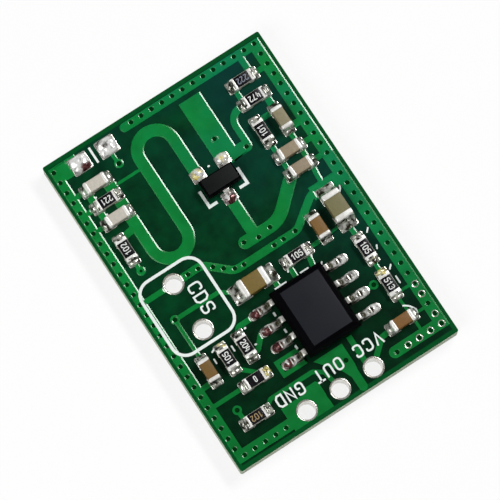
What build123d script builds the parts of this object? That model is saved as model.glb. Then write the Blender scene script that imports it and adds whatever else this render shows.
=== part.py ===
"""A doppler radar sensor module: one small circuit board with its copper, chip parts and solder.

The board lies flat on its underside. The origin is the centre of the underside, +X runs along
the short side, +Y towards the antenna end and +Z up out of the component side. Lengths are in
millimetres. The header holes are at the -Y end and the light cell holes on the left, at -X.
"""

import os
from dataclasses import dataclass

from build123d import *

os.makedirs("parts", exist_ok=True)

# Board
board_width = 16.6
board_length = 23.5
board_corner_radius = 0.15
laminate_thickness = 1.5
foil_thickness = 0.05
ink_thickness = 0.02
half_width = board_width / 2
half_length = board_length / 2

# Plated holes, for a three-pin header and for the two legs of a light cell
header_pitch = 2.54
header_inset = 1.02
header_centre_x = -0.012 * half_width
light_cell_pitch = 3.5
light_cell_x = -0.641 * half_width
light_cell_y = -0.085 * half_length
hole_radius = 0.58
barrel_wall = 0.04
barrel_ring = 0.09
net_clearance = 0.27

# Vias, the small plated holes where a track goes through to the underside
via_radius = 0.16
via_pad_radius = 0.31

# Ground copper round the board: bare margin outside each strip, and the strip's width
left_strip_margin = 0.22
left_strip_width = 0.66
right_strip_margin = 0.25
right_strip_width = 0.85
top_strip_margin = 0.36
top_strip_width = 0.62
header_left_margin = 0.45
header_left_strip_width = 0.8
header_right_margin = 0.68
header_right_strip_width = 0.79
underside_margin = 0.3

# Small chips, resistors and capacitors alike
small_chip_length = 1.6
small_chip_width = 0.8
small_chip_cap = 0.3
small_solder_reach = 0.37
resistor_height = 0.45
resistor_solder_height = 0.32
small_capacitor_height = 0.8
small_capacitor_solder_height = 0.5

# Large chip capacitors
large_chip_length = 2.0
large_chip_width = 1.25
large_chip_cap = 0.4
large_solder_reach = 0.65
large_capacitor_height = 0.95
large_capacitor_solder_height = 0.65

# Every chip
pad_tuck = 0.2
pad_side_margin = 0.03
cap_proud = 0.02
solder_toe = 0.06

# Control chip, eight leads
chip_x = 0.153 * half_width
chip_y = -0.485 * half_length
chip_body_width = 3.9
chip_body_length = 4.9
chip_standoff = 0.12
chip_lower_height = 0.6
chip_upper_height = 0.6
chip_lower_draft = 7.0
chip_upper_draft = 24.0
chip_bevel = 0.16
chip_lead_pitch = 1.27
chip_lead_span = 6.1
chip_lead_width = 0.42
chip_lead_thickness = 0.2
chip_lead_shoulder = 0.3
chip_lead_slant = 0.1
chip_lead_bend = 0.16
chip_pad_width = 0.62
chip_pad_tuck = 0.85
chip_pad_reach = 0.68
chip_solder_height = 0.16

# Oscillator transistor, three leads
transistor_x = 0.096 * half_width
transistor_y = 0.399 * half_length
transistor_body_length = 2.5
transistor_body_width = 1.3
transistor_standoff = 0.06
transistor_lower_height = 0.4
transistor_upper_height = 0.45
transistor_draft = 7.0
transistor_lead_pitch = 1.9
transistor_lead_span = 2.4
transistor_lead_width = 0.42
transistor_lead_thickness = 0.13
transistor_lead_shoulder = 0.16
transistor_lead_slant = 0.05
transistor_lead_bend = 0.1
transistor_pad_width = 1.0
transistor_pad_tuck = 0.5
transistor_pad_reach = 0.35
transistor_solder_height = 0.13

# Antenna copper: the meander line, the broad stub beside it and the line to the transistor
meander_width = 0.85
meander_foot_y = 0.287 * half_length
meander_head_y = 0.743 * half_length
meander_link_y = 0.698 * half_length
meander_tab_y = 0.447 * half_length
stub_width = 1.63
stub_x = 0.257 * half_width
stub_top_y = 0.887 * half_length
stub_foot_y = 0.458 * half_length
stub_foot_width = 0.82
stub_line_width = 0.5
stub_line_x = 0.442 * half_width
stub_line_bend = 0.9
source_width = 0.87
source_feed_width = 0.82
source_y = 0.043 * half_length
source_start_x = -0.002 * half_width
source_turn_x = 0.313 * half_width
source_bend = 2.0

# Signal tracks
wide_track = 0.5
medium_track = 0.38
narrow_track = 0.3
fine_track = 0.2
track_bend = 0.25
arc_band_width = 0.54
arc_band_bend = 0.9
arc_band_shoulder_width = 0.95
arc_band_shoulder_x = 0.639 * half_width
arc_band_end_y = 0.068 * half_length

# Solder jumper at the antenna end
jumper_left_x = -0.733 * half_width
jumper_right_x = -0.486 * half_width
jumper_y = 0.905 * half_length
jumper_pad_width = 1.38
jumper_pad_length = 1.25
jumper_solder_inset = 0.04
jumper_solder_height = 0.3
jumper_solder_round = 0.24
jumper_solder_slope = 0.2

# White ink marks
ink_line = 0.2
light_cell_mark_width = 4.55
light_cell_mark_length = 5.5
light_cell_mark_shift = (-0.055, 0.05)
light_cell_mark_round = 1.0
corner_mark_gap = 0.1
corner_mark_rise = 1.2
corner_mark_foot = 0.6
chip_mark_dot = 0.14
chip_dash_rise = 0.15
chip_dash_long = 0.9
chip_dash_short = 0.65
jumper_mark_width = 0.15
jumper_mark_height = 1.16

# Heights of the board's layers and the places of its edges
laminate_bottom = foil_thickness
laminate_top = laminate_bottom + laminate_thickness
copper_top = laminate_top + foil_thickness
left_edge = -half_width
right_edge = half_width
antenna_edge = half_length
header_edge = -half_length
copper_plane = Plane.XY.offset(laminate_top)

# Centre lines of the ground strips
left_strip_x = left_edge + left_strip_margin + left_strip_width / 2
right_strip_x = right_edge - right_strip_margin - right_strip_width / 2
top_strip_y = antenna_edge - top_strip_margin - top_strip_width / 2
header_left_y = header_edge + header_left_margin + header_left_strip_width / 2
header_right_y = header_edge + header_right_margin + header_right_strip_width / 2
strips_high_y = antenna_edge - top_strip_margin
strips_left_x = left_edge + left_strip_margin
strips_right_x = right_edge - right_strip_margin

# Hole places
header_y = header_edge + header_inset
barrel_radius = hole_radius + barrel_wall
ring_radius = barrel_radius + barrel_ring
plated_holes = {
    "ground_hole_plating": (header_centre_x - header_pitch, header_y),
    "output_hole_plating": (header_centre_x, header_y),
    "supply_hole_plating": (header_centre_x + header_pitch, header_y),
    "light_cell_hole_plating_1": (light_cell_x, light_cell_y + light_cell_pitch / 2),
    "light_cell_hole_plating_2": (light_cell_x, light_cell_y - light_cell_pitch / 2),
}
ground_hole = plated_holes["ground_hole_plating"]
output_hole = plated_holes["output_hole_plating"]
supply_hole = plated_holes["supply_hole_plating"]
light_cell_hole = plated_holes["light_cell_hole_plating_1"]


def spot(right, up):
    """A place on the board, as shares of its half width and half length from the centre."""
    return (right * half_width, up * half_length)


@dataclass(frozen=True)
class Chip:
    """A chip part with a metal cap on each end, lying along X, or along Y when it is upright."""

    x: float
    y: float
    upright: bool
    length: float
    width: float
    height: float
    cap: float
    solder_reach: float
    solder_height: float

    def along(self, distance):
        """The point that far from the centre along the chip, to the right or up."""
        if self.upright:
            return (self.x, self.y + distance)
        return (self.x + distance, self.y)

    @property
    def pad_length(self):
        return self.cap + pad_tuck + self.solder_reach

    @property
    def pad_width(self):
        return self.width + 2 * pad_side_margin

    @property
    def low(self):
        """Centre of the left or lower solder pad."""
        return self.along(self.pad_length / 2 - self.length / 2 - self.solder_reach)

    @property
    def high(self):
        """Centre of the right or upper solder pad."""
        return self.along(self.length / 2 + self.solder_reach - self.pad_length / 2)

    @property
    def high_end(self):
        """How far right, or up, the solder pads reach."""
        centre = self.y if self.upright else self.x
        return centre + self.length / 2 + self.solder_reach

    def footprint(self, length, width):
        """X and Y sizes of something that long along the chip and that wide across it."""
        return (width, length) if self.upright else (length, width)


def resistor(right, up, upright=False):
    """A small resistor at a place on the board."""
    return Chip(
        *spot(right, up),
        upright,
        small_chip_length,
        small_chip_width,
        resistor_height,
        small_chip_cap,
        small_solder_reach,
        resistor_solder_height,
    )


def small_capacitor(right, up, upright=False):
    """A small capacitor at a place on the board."""
    return Chip(
        *spot(right, up),
        upright,
        small_chip_length,
        small_chip_width,
        small_capacitor_height,
        small_chip_cap,
        small_solder_reach,
        small_capacitor_solder_height,
    )


def large_capacitor(right, up, upright=False):
    """A large capacitor at a place on the board."""
    return Chip(
        *spot(right, up),
        upright,
        large_chip_length,
        large_chip_width,
        large_capacitor_height,
        large_chip_cap,
        large_solder_reach,
        large_capacitor_solder_height,
    )


# Chip places
filter_column = -0.72
output_column = 0.681
bias_column = 0.749
capacitors = {
    "capacitor_1": small_capacitor(filter_column, 0.757),
    "capacitor_2": small_capacitor(filter_column, 0.536),
    "capacitor_3": small_capacitor(0.769, 0.511, upright=True),
    "capacitor_4": small_capacitor(output_column, 0.336),
    "capacitor_5": small_capacitor(output_column, 0.223),
    "capacitor_6": small_capacitor(0.542, -0.108, upright=True),
    "capacitor_7": small_capacitor(-0.781, -0.443, upright=True),
    "capacitor_8": small_capacitor(0.671, -0.791),
    "capacitor_9": large_capacitor(-0.123, -0.176),
    "capacitor_10": large_capacitor(0.745, -0.068, upright=True),
}
resistors = {
    "resistor_1": resistor(filter_column, 0.647),
    "resistor_2": resistor(-0.801, 0.362, upright=True),
    "resistor_3": resistor(output_column, 0.809),
    "resistor_4": resistor(output_column, 0.689),
    "resistor_5": resistor(0.59, 0.508, upright=True),
    "resistor_6": resistor(0.275, -0.174),
    "resistor_7": resistor(-0.608, -0.443, upright=True),
    "resistor_8": resistor(-0.443, -0.438, upright=True),
    "resistor_9": resistor(-0.52, -0.621),
    "resistor_10": resistor(-0.669, -0.796),
    "resistor_11": resistor(bias_column, -0.345, upright=True),
    "resistor_12": resistor(bias_column, -0.581, upright=True),
}
chips = {**capacitors, **resistors}

# Leads of the control chip: side is -1 at the left and 1 at the right, counted down each side
chip_lead_rows = [chip_y + chip_lead_pitch * step for step in (1.5, 0.5, -0.5, -1.5)]
chip_leads = [(side, y) for side in (-1, 1) for y in chip_lead_rows]
chip_pad_x = chip_lead_span / 2 + (chip_pad_reach - chip_pad_tuck) / 2
chip_pads = [(chip_x + side * chip_pad_x, y) for side, y in chip_leads]
chip_pad_length = chip_pad_tuck + chip_pad_reach

# Leads of the transistor: side is 1 towards the antenna end
transistor_leads = [
    (transistor_x - transistor_lead_pitch / 2, 1),
    (transistor_x + transistor_lead_pitch / 2, 1),
    (transistor_x, -1),
]
transistor_pad_y = transistor_lead_span / 2 + (transistor_pad_reach - transistor_pad_tuck) / 2
transistor_pads = [(x, transistor_y + side * transistor_pad_y) for x, side in transistor_leads]
transistor_pad_length = transistor_pad_tuck + transistor_pad_reach

# Meander legs, from the filter column's pads to the transistor's left lead
first_leg_x = capacitors["capacitor_1"].high_end - meander_width / 2
last_leg_x = transistor_leads[0][0]
middle_leg_x = (first_leg_x + last_leg_x) / 2


def low(name):
    """Centre of a chip's left or lower solder pad."""
    return chips[name].low


def high(name):
    """Centre of a chip's right or upper solder pad."""
    return chips[name].high


# Free vias, where a track goes through to the underside
jumper_via = spot(-0.48, 0.79)
meander_bias_via = spot(-0.795, 0.221)
light_cell_via = spot(-0.783, -0.106)
filter_via = spot(-0.765, -0.706)
chip_via = spot(0.648, -0.536)
finger_via = spot(0.145, -0.8)
free_vias = [jumper_via, meander_bias_via, light_cell_via, filter_via, chip_via]

# Ground copper runs, each a width and the points of its middle line
jumper_area_width = 1.22
top_strip_start_x = -0.29 * half_width
header_right_start_x = 0.496 * half_width
pour_reach = 3.88
pour_left_x = header_centre_x - pour_reach
arc_band = [
    light_cell_hole,
    spot(-0.38, 0.068),
    spot(-0.187, -0.057),
    spot(0.392, -0.055),
    (0.627 * half_width, arc_band_end_y),
    (right_strip_x, arc_band_end_y),
]
ground_strips = [
    (
        left_strip_width,
        (left_strip_x, strips_high_y),
        (left_strip_x, header_edge + header_left_margin),
    ),
    (top_strip_width, (top_strip_start_x, top_strip_y), (strips_right_x, top_strip_y)),
    (
        right_strip_width,
        (right_strip_x, strips_high_y),
        (right_strip_x, header_edge + header_right_margin),
    ),
    (
        header_left_strip_width,
        (strips_left_x, header_left_y),
        (pour_left_x, header_left_y),
    ),
    (
        header_right_strip_width,
        (header_right_start_x, header_right_y),
        (strips_right_x, header_right_y),
    ),
]
ground_links = [
    (
        jumper_area_width,
        (strips_left_x, strips_high_y - jumper_area_width / 2),
        (jumper_left_x, strips_high_y - jumper_area_width / 2),
    ),
    (medium_track, (left_strip_x, low("capacitor_1")[1]), low("capacitor_1")),
    (medium_track, (left_strip_x, low("resistor_1")[1]), low("resistor_1")),
    (medium_track, (left_strip_x, low("capacitor_2")[1]), low("capacitor_2")),
    (wide_track, low("capacitor_1"), low("capacitor_2")),
    (medium_track, (left_strip_x, light_cell_hole[1]), light_cell_hole),
    (medium_track, (left_strip_x, low("capacitor_7")[1]), low("capacitor_7")),
    (narrow_track, (left_strip_x, low("resistor_9")[1]), low("resistor_9")),
    (wide_track, (high("resistor_3")[0], top_strip_y), high("resistor_3")),
    (medium_track, high("resistor_3"), (right_strip_x, high("resistor_3")[1])),
    (wide_track, low("capacitor_3"), (right_strip_x, low("capacitor_3")[1])),
    (medium_track, high("capacitor_4"), (right_strip_x, high("capacitor_4")[1])),
    (medium_track, high("capacitor_5"), (right_strip_x, high("capacitor_5")[1])),
    (medium_track, low("capacitor_3"), high("capacitor_4")),
    (medium_track, high("capacitor_4"), high("capacitor_5")),
    (medium_track, high("capacitor_5"), high("capacitor_10")),
    (
        arc_band_shoulder_width,
        (arc_band_shoulder_x, arc_band_end_y),
        (right_strip_x, arc_band_end_y),
    ),
    (fine_track, low("resistor_12"), (right_strip_x, low("resistor_12")[1])),
    (fine_track, low("resistor_12"), high("capacitor_8")),
    (fine_track, high("capacitor_8"), (right_strip_x, high("capacitor_8")[1])),
    (fine_track, high("capacitor_8"), (high("capacitor_8")[0], header_right_y)),
]

# The copper area round the ground hole, from the middle header hole
ground_pour = [
    (-pour_reach, 0.98),
    (-2.0, 0.98),
    (-1.8, 1.28),
    (-1.1, 1.28),
    (-0.95, 1.13),
    (-0.95, -0.72),
    (-pour_reach, -0.72),
]

# Signal copper runs, straight and bent
last_pad_x, last_pad_y = chip_pads[3]
last_pad_area = 1.05
pad_area_heel = 0.77
signal_links = [
    (medium_track, low("resistor_3"), low("resistor_4")),
    (wide_track, high("resistor_4"), high("capacitor_3")),
    (medium_track, high("resistor_5"), high("capacitor_3")),
    (medium_track, low("resistor_5"), low("capacitor_4")),
    (medium_track, low("capacitor_4"), low("capacitor_5")),
    (narrow_track, (jumper_right_x, jumper_y), jumper_via),
    (narrow_track, meander_bias_via, low("resistor_2")),
    (narrow_track, light_cell_via, high("capacitor_7")),
    (narrow_track, filter_via, low("resistor_10")),
    (narrow_track, low("resistor_7"), high("resistor_9")),
    (medium_track, spot(0.024, -0.179), spot(0.024, -0.306)),
    (medium_track, spot(0.181, -0.179), spot(0.181, -0.306)),
    (medium_track, high("resistor_6"), spot(0.331, -0.298)),
    (narrow_track, high("resistor_6"), low("capacitor_6")),
    (fine_track, low("capacitor_6"), low("capacitor_10")),
    (medium_track, low("capacitor_10"), high("resistor_11")),
    (narrow_track, low("resistor_11"), high("resistor_12")),
    (narrow_track, chip_pads[6], chip_via),
    (jumper_area_width, (last_pad_x - last_pad_area, last_pad_y), (last_pad_x + pad_area_heel, last_pad_y)),
]
signal_bends = [
    (medium_track, high("resistor_8"), spot(-0.41, -0.328), chip_pads[0]),
    (medium_track, low("resistor_8"), spot(-0.373, -0.489), spot(-0.295, -0.43), chip_pads[1]),
    (narrow_track, light_cell_via, spot(-0.386, -0.108), low("capacitor_9")),
    (
        narrow_track,
        high("resistor_10"),
        spot(-0.506, -0.753),
        spot(-0.12, -0.753),
        spot(-0.042, -0.791),
        output_hole,
    ),
    (medium_track, spot(0.264, -0.698), spot(0.264, -0.868), supply_hole),
    (medium_track, supply_hole, spot(0.47, -0.802), low("capacitor_8")),
]

# The copper finger that ends between the output and supply holes, from the middle hole
finger_tip_radius = 0.29
finger_tip = (1.31, -0.67)
finger_outline = [
    (-0.5, 2.38),
    (1.67, 2.38),
    (1.67, 0.83),
    (finger_tip[0] + finger_tip_radius, 0.43),
    (finger_tip[0] + finger_tip_radius, finger_tip[1]),
    (finger_tip[0] - finger_tip_radius, finger_tip[1]),
    (finger_tip[0] - finger_tip_radius, 0.23),
    (0.75, 0.83),
]

with BuildPart() as circuit_board:
    with BuildSketch(Plane.XY.offset(laminate_bottom)):
        RectangleRounded(board_width, board_length, board_corner_radius)
        with Locations(*plated_holes.values()):
            Circle(barrel_radius, mode=Mode.SUBTRACT)
    extrude(amount=laminate_thickness)
circuit_board.part.label = "circuit_board"
export_step(circuit_board.part, "parts/circuit_board.step")

# The plated barrel of each hole, with a ring of solderable copper on both faces
barrels = []
for name, (x, y) in plated_holes.items():
    with BuildPart() as barrel:
        with BuildSketch(Plane.XZ.offset(-y)):
            with Locations((x, 0)):
                Polygon(
                    (hole_radius, 0),
                    (ring_radius, 0),
                    (ring_radius, foil_thickness),
                    (barrel_radius, foil_thickness),
                    (barrel_radius, laminate_top),
                    (ring_radius, laminate_top),
                    (ring_radius, copper_top),
                    (hole_radius, copper_top),
                    align=None,
                )
        revolve(axis=Axis((x, y, 0), (0, 0, 1)))
    barrel.part.label = name
    export_step(barrel.part, f"parts/{name}.step")
    barrels.append(barrel.part)

# Bare copper pads under every chip, chip lead, transistor lead and jumper half
with BuildPart() as component_pads:
    with BuildSketch(copper_plane):
        for chip in chips.values():
            with Locations(chip.low, chip.high):
                Rectangle(*chip.footprint(chip.pad_length, chip.pad_width))
        with Locations(*chip_pads):
            Rectangle(chip_pad_length, chip_pad_width)
        with Locations(*transistor_pads):
            Rectangle(transistor_pad_width, transistor_pad_length)
        with Locations((jumper_left_x, jumper_y), (jumper_right_x, jumper_y)):
            Rectangle(jumper_pad_width, jumper_pad_length)
    extrude(amount=foil_thickness)
component_pads.part.label = "component_pads"
export_step(component_pads.part, "parts/component_pads.step")

with BuildPart() as ground_copper:
    with BuildSketch(copper_plane):
        for width, start, end in ground_strips + ground_links:
            with BuildLine():
                Line(start, end)
            trace(line_width=width)
        with BuildLine():
            FilletPolyline(*arc_band, radius=arc_band_bend)
        trace(line_width=arc_band_width)
        with Locations((top_strip_start_x, top_strip_y)):
            Circle(top_strip_width / 2)
        with Locations((header_right_start_x, header_right_y)):
            Circle(header_right_strip_width / 2)
        with Locations(output_hole):
            Polygon(*ground_pour, align=None)
            Circle(ring_radius + net_clearance, mode=Mode.SUBTRACT)
        with Locations(ground_hole, light_cell_hole):
            Circle(ring_radius, mode=Mode.SUBTRACT)
    extrude(amount=foil_thickness)
    add(component_pads.part, mode=Mode.SUBTRACT)
ground_copper.part.label = "ground_copper"
export_step(ground_copper.part, "parts/ground_copper.step")

with BuildPart() as meander_antenna:
    with BuildSketch(copper_plane):
        with BuildLine():
            first_leg = Line((first_leg_x, high("capacitor_1")[1]), (first_leg_x, meander_foot_y))
            foot = TangentArc(first_leg @ 1, (middle_leg_x, meander_foot_y), tangent=first_leg % 1)
            middle_leg = Line(foot @ 1, (middle_leg_x, meander_head_y))
            head = TangentArc(middle_leg @ 1, (last_leg_x, meander_head_y), tangent=middle_leg % 1)
            Line(head @ 1, transistor_pads[0])
        trace(line_width=meander_width)
        with BuildLine():
            Line((first_leg_x, meander_link_y), (middle_leg_x, meander_link_y))
        trace(line_width=fine_track)
        with BuildLine():
            Line((first_leg_x, meander_tab_y), high("resistor_2"))
        trace(line_width=wide_track)
    extrude(amount=foil_thickness)
    add(component_pads.part, mode=Mode.SUBTRACT)
meander_antenna.part.label = "meander_antenna"
export_step(meander_antenna.part, "parts/meander_antenna.step")

with BuildPart() as resonator_stub:
    with BuildSketch(copper_plane):
        with Locations((stub_x, (stub_foot_y + stub_top_y) / 2)):
            Rectangle(stub_width, stub_top_y - stub_foot_y)
        stub_foot_middle = stub_foot_y + stub_foot_width / 2
        stub_foot_end_x = stub_line_x + stub_line_width / 2 - stub_foot_width / 2
        with BuildLine():
            Line((stub_x - stub_width / 2, stub_foot_middle), (stub_foot_end_x, stub_foot_middle))
        trace(line_width=stub_foot_width)
        with Locations((stub_foot_end_x, stub_foot_middle)):
            Circle(stub_foot_width / 2)
        with BuildLine():
            FilletPolyline(
                (stub_line_x, stub_foot_middle),
                (stub_line_x, low("resistor_4")[1]),
                low("resistor_4"),
                radius=stub_line_bend,
            )
        trace(line_width=stub_line_width)
    extrude(amount=foil_thickness)
    add(component_pads.part, mode=Mode.SUBTRACT)
resonator_stub.part.label = "resonator_stub"
export_step(resonator_stub.part, "parts/resonator_stub.step")

with BuildPart() as source_line:
    with BuildSketch(copper_plane):
        with BuildLine():
            FilletPolyline(
                (source_start_x, source_y),
                (source_turn_x, source_y),
                low("capacitor_5"),
                radius=source_bend,
            )
        trace(line_width=source_width)
        with BuildLine():
            Line((transistor_x, source_y), transistor_pads[2])
        trace(line_width=source_feed_width)
        with Locations((source_start_x, source_y)):
            Circle(source_width / 2)
    extrude(amount=foil_thickness)
    add(component_pads.part, mode=Mode.SUBTRACT)
source_line.part.label = "source_line"
export_step(source_line.part, "parts/source_line.step")

with BuildPart() as signal_tracks:
    with BuildSketch(copper_plane):
        for width, start, end in signal_links:
            with BuildLine():
                Line(start, end)
            trace(line_width=width)
        for width, *points in signal_bends:
            with BuildLine():
                FilletPolyline(*points, radius=track_bend)
            trace(line_width=width)
        with Locations(output_hole):
            Polygon(*finger_outline, align=None)
            with Locations(finger_tip):
                Circle(finger_tip_radius)
        with Locations(*free_vias):
            Circle(via_pad_radius)
        with Locations(output_hole, supply_hole):
            Circle(ring_radius, mode=Mode.SUBTRACT)
        with Locations(*free_vias, finger_via):
            Circle(via_radius, mode=Mode.SUBTRACT)
    extrude(amount=foil_thickness)
    add(component_pads.part, mode=Mode.SUBTRACT)
signal_tracks.part.label = "signal_tracks"
export_step(signal_tracks.part, "parts/signal_tracks.step")

with BuildPart() as underside_copper:
    with BuildSketch():
        Rectangle(board_width - 2 * underside_margin, board_length - 2 * underside_margin)
        with Locations(*plated_holes.values()):
            Circle(ring_radius + net_clearance, mode=Mode.SUBTRACT)
    extrude(amount=foil_thickness)
underside_copper.part.label = "underside_copper"
export_step(underside_copper.part, "parts/underside_copper.step")

# The two domed halves of the solder jumper
for name, x in {"jumper_solder_left": jumper_left_x, "jumper_solder_right": jumper_right_x}.items():
    with BuildPart() as jumper_solder:
        with BuildSketch(Plane.XY.offset(copper_top)):
            with Locations((x, jumper_y)):
                RectangleRounded(
                    jumper_pad_width - 2 * jumper_solder_inset,
                    jumper_pad_length - 2 * jumper_solder_inset,
                    jumper_solder_round,
                )
        extrude(amount=jumper_solder_height)
        chamfer(jumper_solder.edges().group_by(Axis.Z)[-1], jumper_solder_slope)
    jumper_solder.part.label = name
    export_step(jumper_solder.part, f"parts/{name}.step")

# Each chip is one solid: a core with a metal cap on each end, a little proud of it
for name, chip in chips.items():
    with BuildPart() as chip_body:
        with BuildSketch(Plane.XY.offset(copper_top + cap_proud)):
            with Locations((chip.x, chip.y)):
                Rectangle(*chip.footprint(chip.length - chip.cap, chip.width - 2 * cap_proud))
        extrude(amount=chip.height - 2 * cap_proud)
        with BuildSketch(Plane.XY.offset(copper_top)):
            cap_reach = (chip.length - chip.cap) / 2
            with Locations(chip.along(-cap_reach), chip.along(cap_reach)):
                Rectangle(*chip.footprint(chip.cap, chip.width))
        extrude(amount=chip.height)
    chip_body.part.label = name
    export_step(chip_body.part, f"parts/{name}.step")

# Solder fillets, each a wedge from a chip's end down to the outer edge of its pad
for name, group in {"capacitor_solder": capacitors, "resistor_solder": resistors}.items():
    with BuildPart() as chip_solder:
        for chip in group.values():
            for side in (-1, 1):
                outward = (0, side, 0) if chip.upright else (side, 0, 0)
                across = (side, 0, 0) if chip.upright else (0, -side, 0)
                end = chip.along(side * chip.length / 2)
                with BuildSketch(Plane((*end, copper_top), x_dir=outward, z_dir=across)):
                    Polygon(
                        (0, 0),
                        (chip.solder_reach, 0),
                        (chip.solder_reach, solder_toe),
                        (0, chip.solder_height),
                        align=None,
                    )
            extrude(amount=chip.width / 2, both=True)
    chip_solder.part.label = name
    export_step(chip_solder.part, f"parts/{name}.step")

# Control chip: a moulded body with drafted sides and a bevel along the side of its first lead
chip_band_height = copper_top + chip_standoff + chip_lower_height
with BuildPart() as control_chip_body:
    with BuildSketch(Plane.XY.offset(chip_band_height)):
        with Locations((chip_x, chip_y)):
            Rectangle(chip_body_width, chip_body_length)
    extrude(amount=chip_lead_thickness)
    band_top = control_chip_body.faces().sort_by(Axis.Z)[-1]
    extrude(band_top, amount=chip_upper_height, taper=chip_upper_draft)
    band_bottom = control_chip_body.faces().sort_by(Axis.Z)[0]
    extrude(band_bottom, amount=chip_lower_height, taper=chip_lower_draft)
    top_edges = control_chip_body.edges().group_by(Axis.Z)[-1]
    chamfer(top_edges.filter_by(Axis.Y).sort_by(Axis.X)[0], chip_bevel)
control_chip_body.part.label = "control_chip_body"
export_step(control_chip_body.part, "parts/control_chip_body.step")

# Gull-wing leads, out of the body's band, down to the pad and along it
chip_lead_middle = chip_band_height + chip_lead_thickness / 2 - copper_top
chip_lead_knee = chip_body_width / 2 + chip_lead_shoulder
for number, (side, y) in enumerate(chip_leads, start=1):
    with BuildPart() as chip_lead:
        with BuildSketch(Plane((chip_x, y, copper_top), x_dir=(side, 0, 0), z_dir=(0, -side, 0))):
            with BuildLine():
                FilletPolyline(
                    (chip_body_width / 2, chip_lead_middle),
                    (chip_lead_knee, chip_lead_middle),
                    (chip_lead_knee + chip_lead_slant, chip_lead_thickness / 2),
                    (chip_lead_span / 2, chip_lead_thickness / 2),
                    radius=chip_lead_bend,
                )
            trace(line_width=chip_lead_thickness)
        extrude(amount=chip_lead_width / 2, both=True)
    chip_lead.part.label = f"control_chip_lead_{number}"
    export_step(chip_lead.part, f"parts/control_chip_lead_{number}.step")

# Oscillator transistor
transistor_band_height = copper_top + transistor_standoff + transistor_lower_height
with BuildPart() as transistor_body:
    with BuildSketch(Plane.XY.offset(transistor_band_height)):
        with Locations((transistor_x, transistor_y)):
            Rectangle(transistor_body_length, transistor_body_width)
    extrude(amount=transistor_lead_thickness)
    extrude(
        transistor_body.faces().sort_by(Axis.Z)[-1],
        amount=transistor_upper_height,
        taper=transistor_draft,
    )
    extrude(
        transistor_body.faces().sort_by(Axis.Z)[0],
        amount=transistor_lower_height,
        taper=transistor_draft,
    )
transistor_body.part.label = "transistor_body"
export_step(transistor_body.part, "parts/transistor_body.step")

transistor_lead_middle = transistor_band_height + transistor_lead_thickness / 2 - copper_top
transistor_lead_knee = transistor_body_width / 2 + transistor_lead_shoulder
for number, (x, side) in enumerate(transistor_leads, start=1):
    with BuildPart() as transistor_lead:
        lead_plane = Plane((x, transistor_y, copper_top), x_dir=(0, side, 0), z_dir=(side, 0, 0))
        with BuildSketch(lead_plane):
            with BuildLine():
                FilletPolyline(
                    (transistor_body_width / 2, transistor_lead_middle),
                    (transistor_lead_knee, transistor_lead_middle),
                    (transistor_lead_knee + transistor_lead_slant, transistor_lead_thickness / 2),
                    (transistor_lead_span / 2, transistor_lead_thickness / 2),
                    radius=transistor_lead_bend,
                )
            trace(line_width=transistor_lead_thickness)
        extrude(amount=transistor_lead_width / 2, both=True)
    transistor_lead.part.label = f"transistor_lead_{number}"
    export_step(transistor_lead.part, f"parts/transistor_lead_{number}.step")

# Solder in front of each lead's toe
with BuildPart() as control_chip_solder:
    for side, y in chip_leads:
        toe = (chip_x + side * chip_lead_span / 2, y, copper_top)
        with BuildSketch(Plane(toe, x_dir=(side, 0, 0), z_dir=(0, -side, 0))):
            Polygon(
                (0, 0),
                (chip_pad_reach, 0),
                (chip_pad_reach, solder_toe),
                (0, chip_solder_height),
                align=None,
            )
    extrude(amount=chip_pad_width / 2, both=True)
control_chip_solder.part.label = "control_chip_solder"
export_step(control_chip_solder.part, "parts/control_chip_solder.step")

with BuildPart() as transistor_solder:
    for x, side in transistor_leads:
        toe = (x, transistor_y + side * transistor_lead_span / 2, copper_top)
        with BuildSketch(Plane(toe, x_dir=(0, side, 0), z_dir=(side, 0, 0))):
            Polygon(
                (0, 0),
                (transistor_pad_reach, 0),
                (transistor_pad_reach, solder_toe),
                (0, transistor_solder_height),
                align=None,
            )
    extrude(amount=transistor_pad_width / 2, both=True)
transistor_solder.part.label = "transistor_solder"
export_step(transistor_solder.part, "parts/transistor_solder.step")

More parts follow.
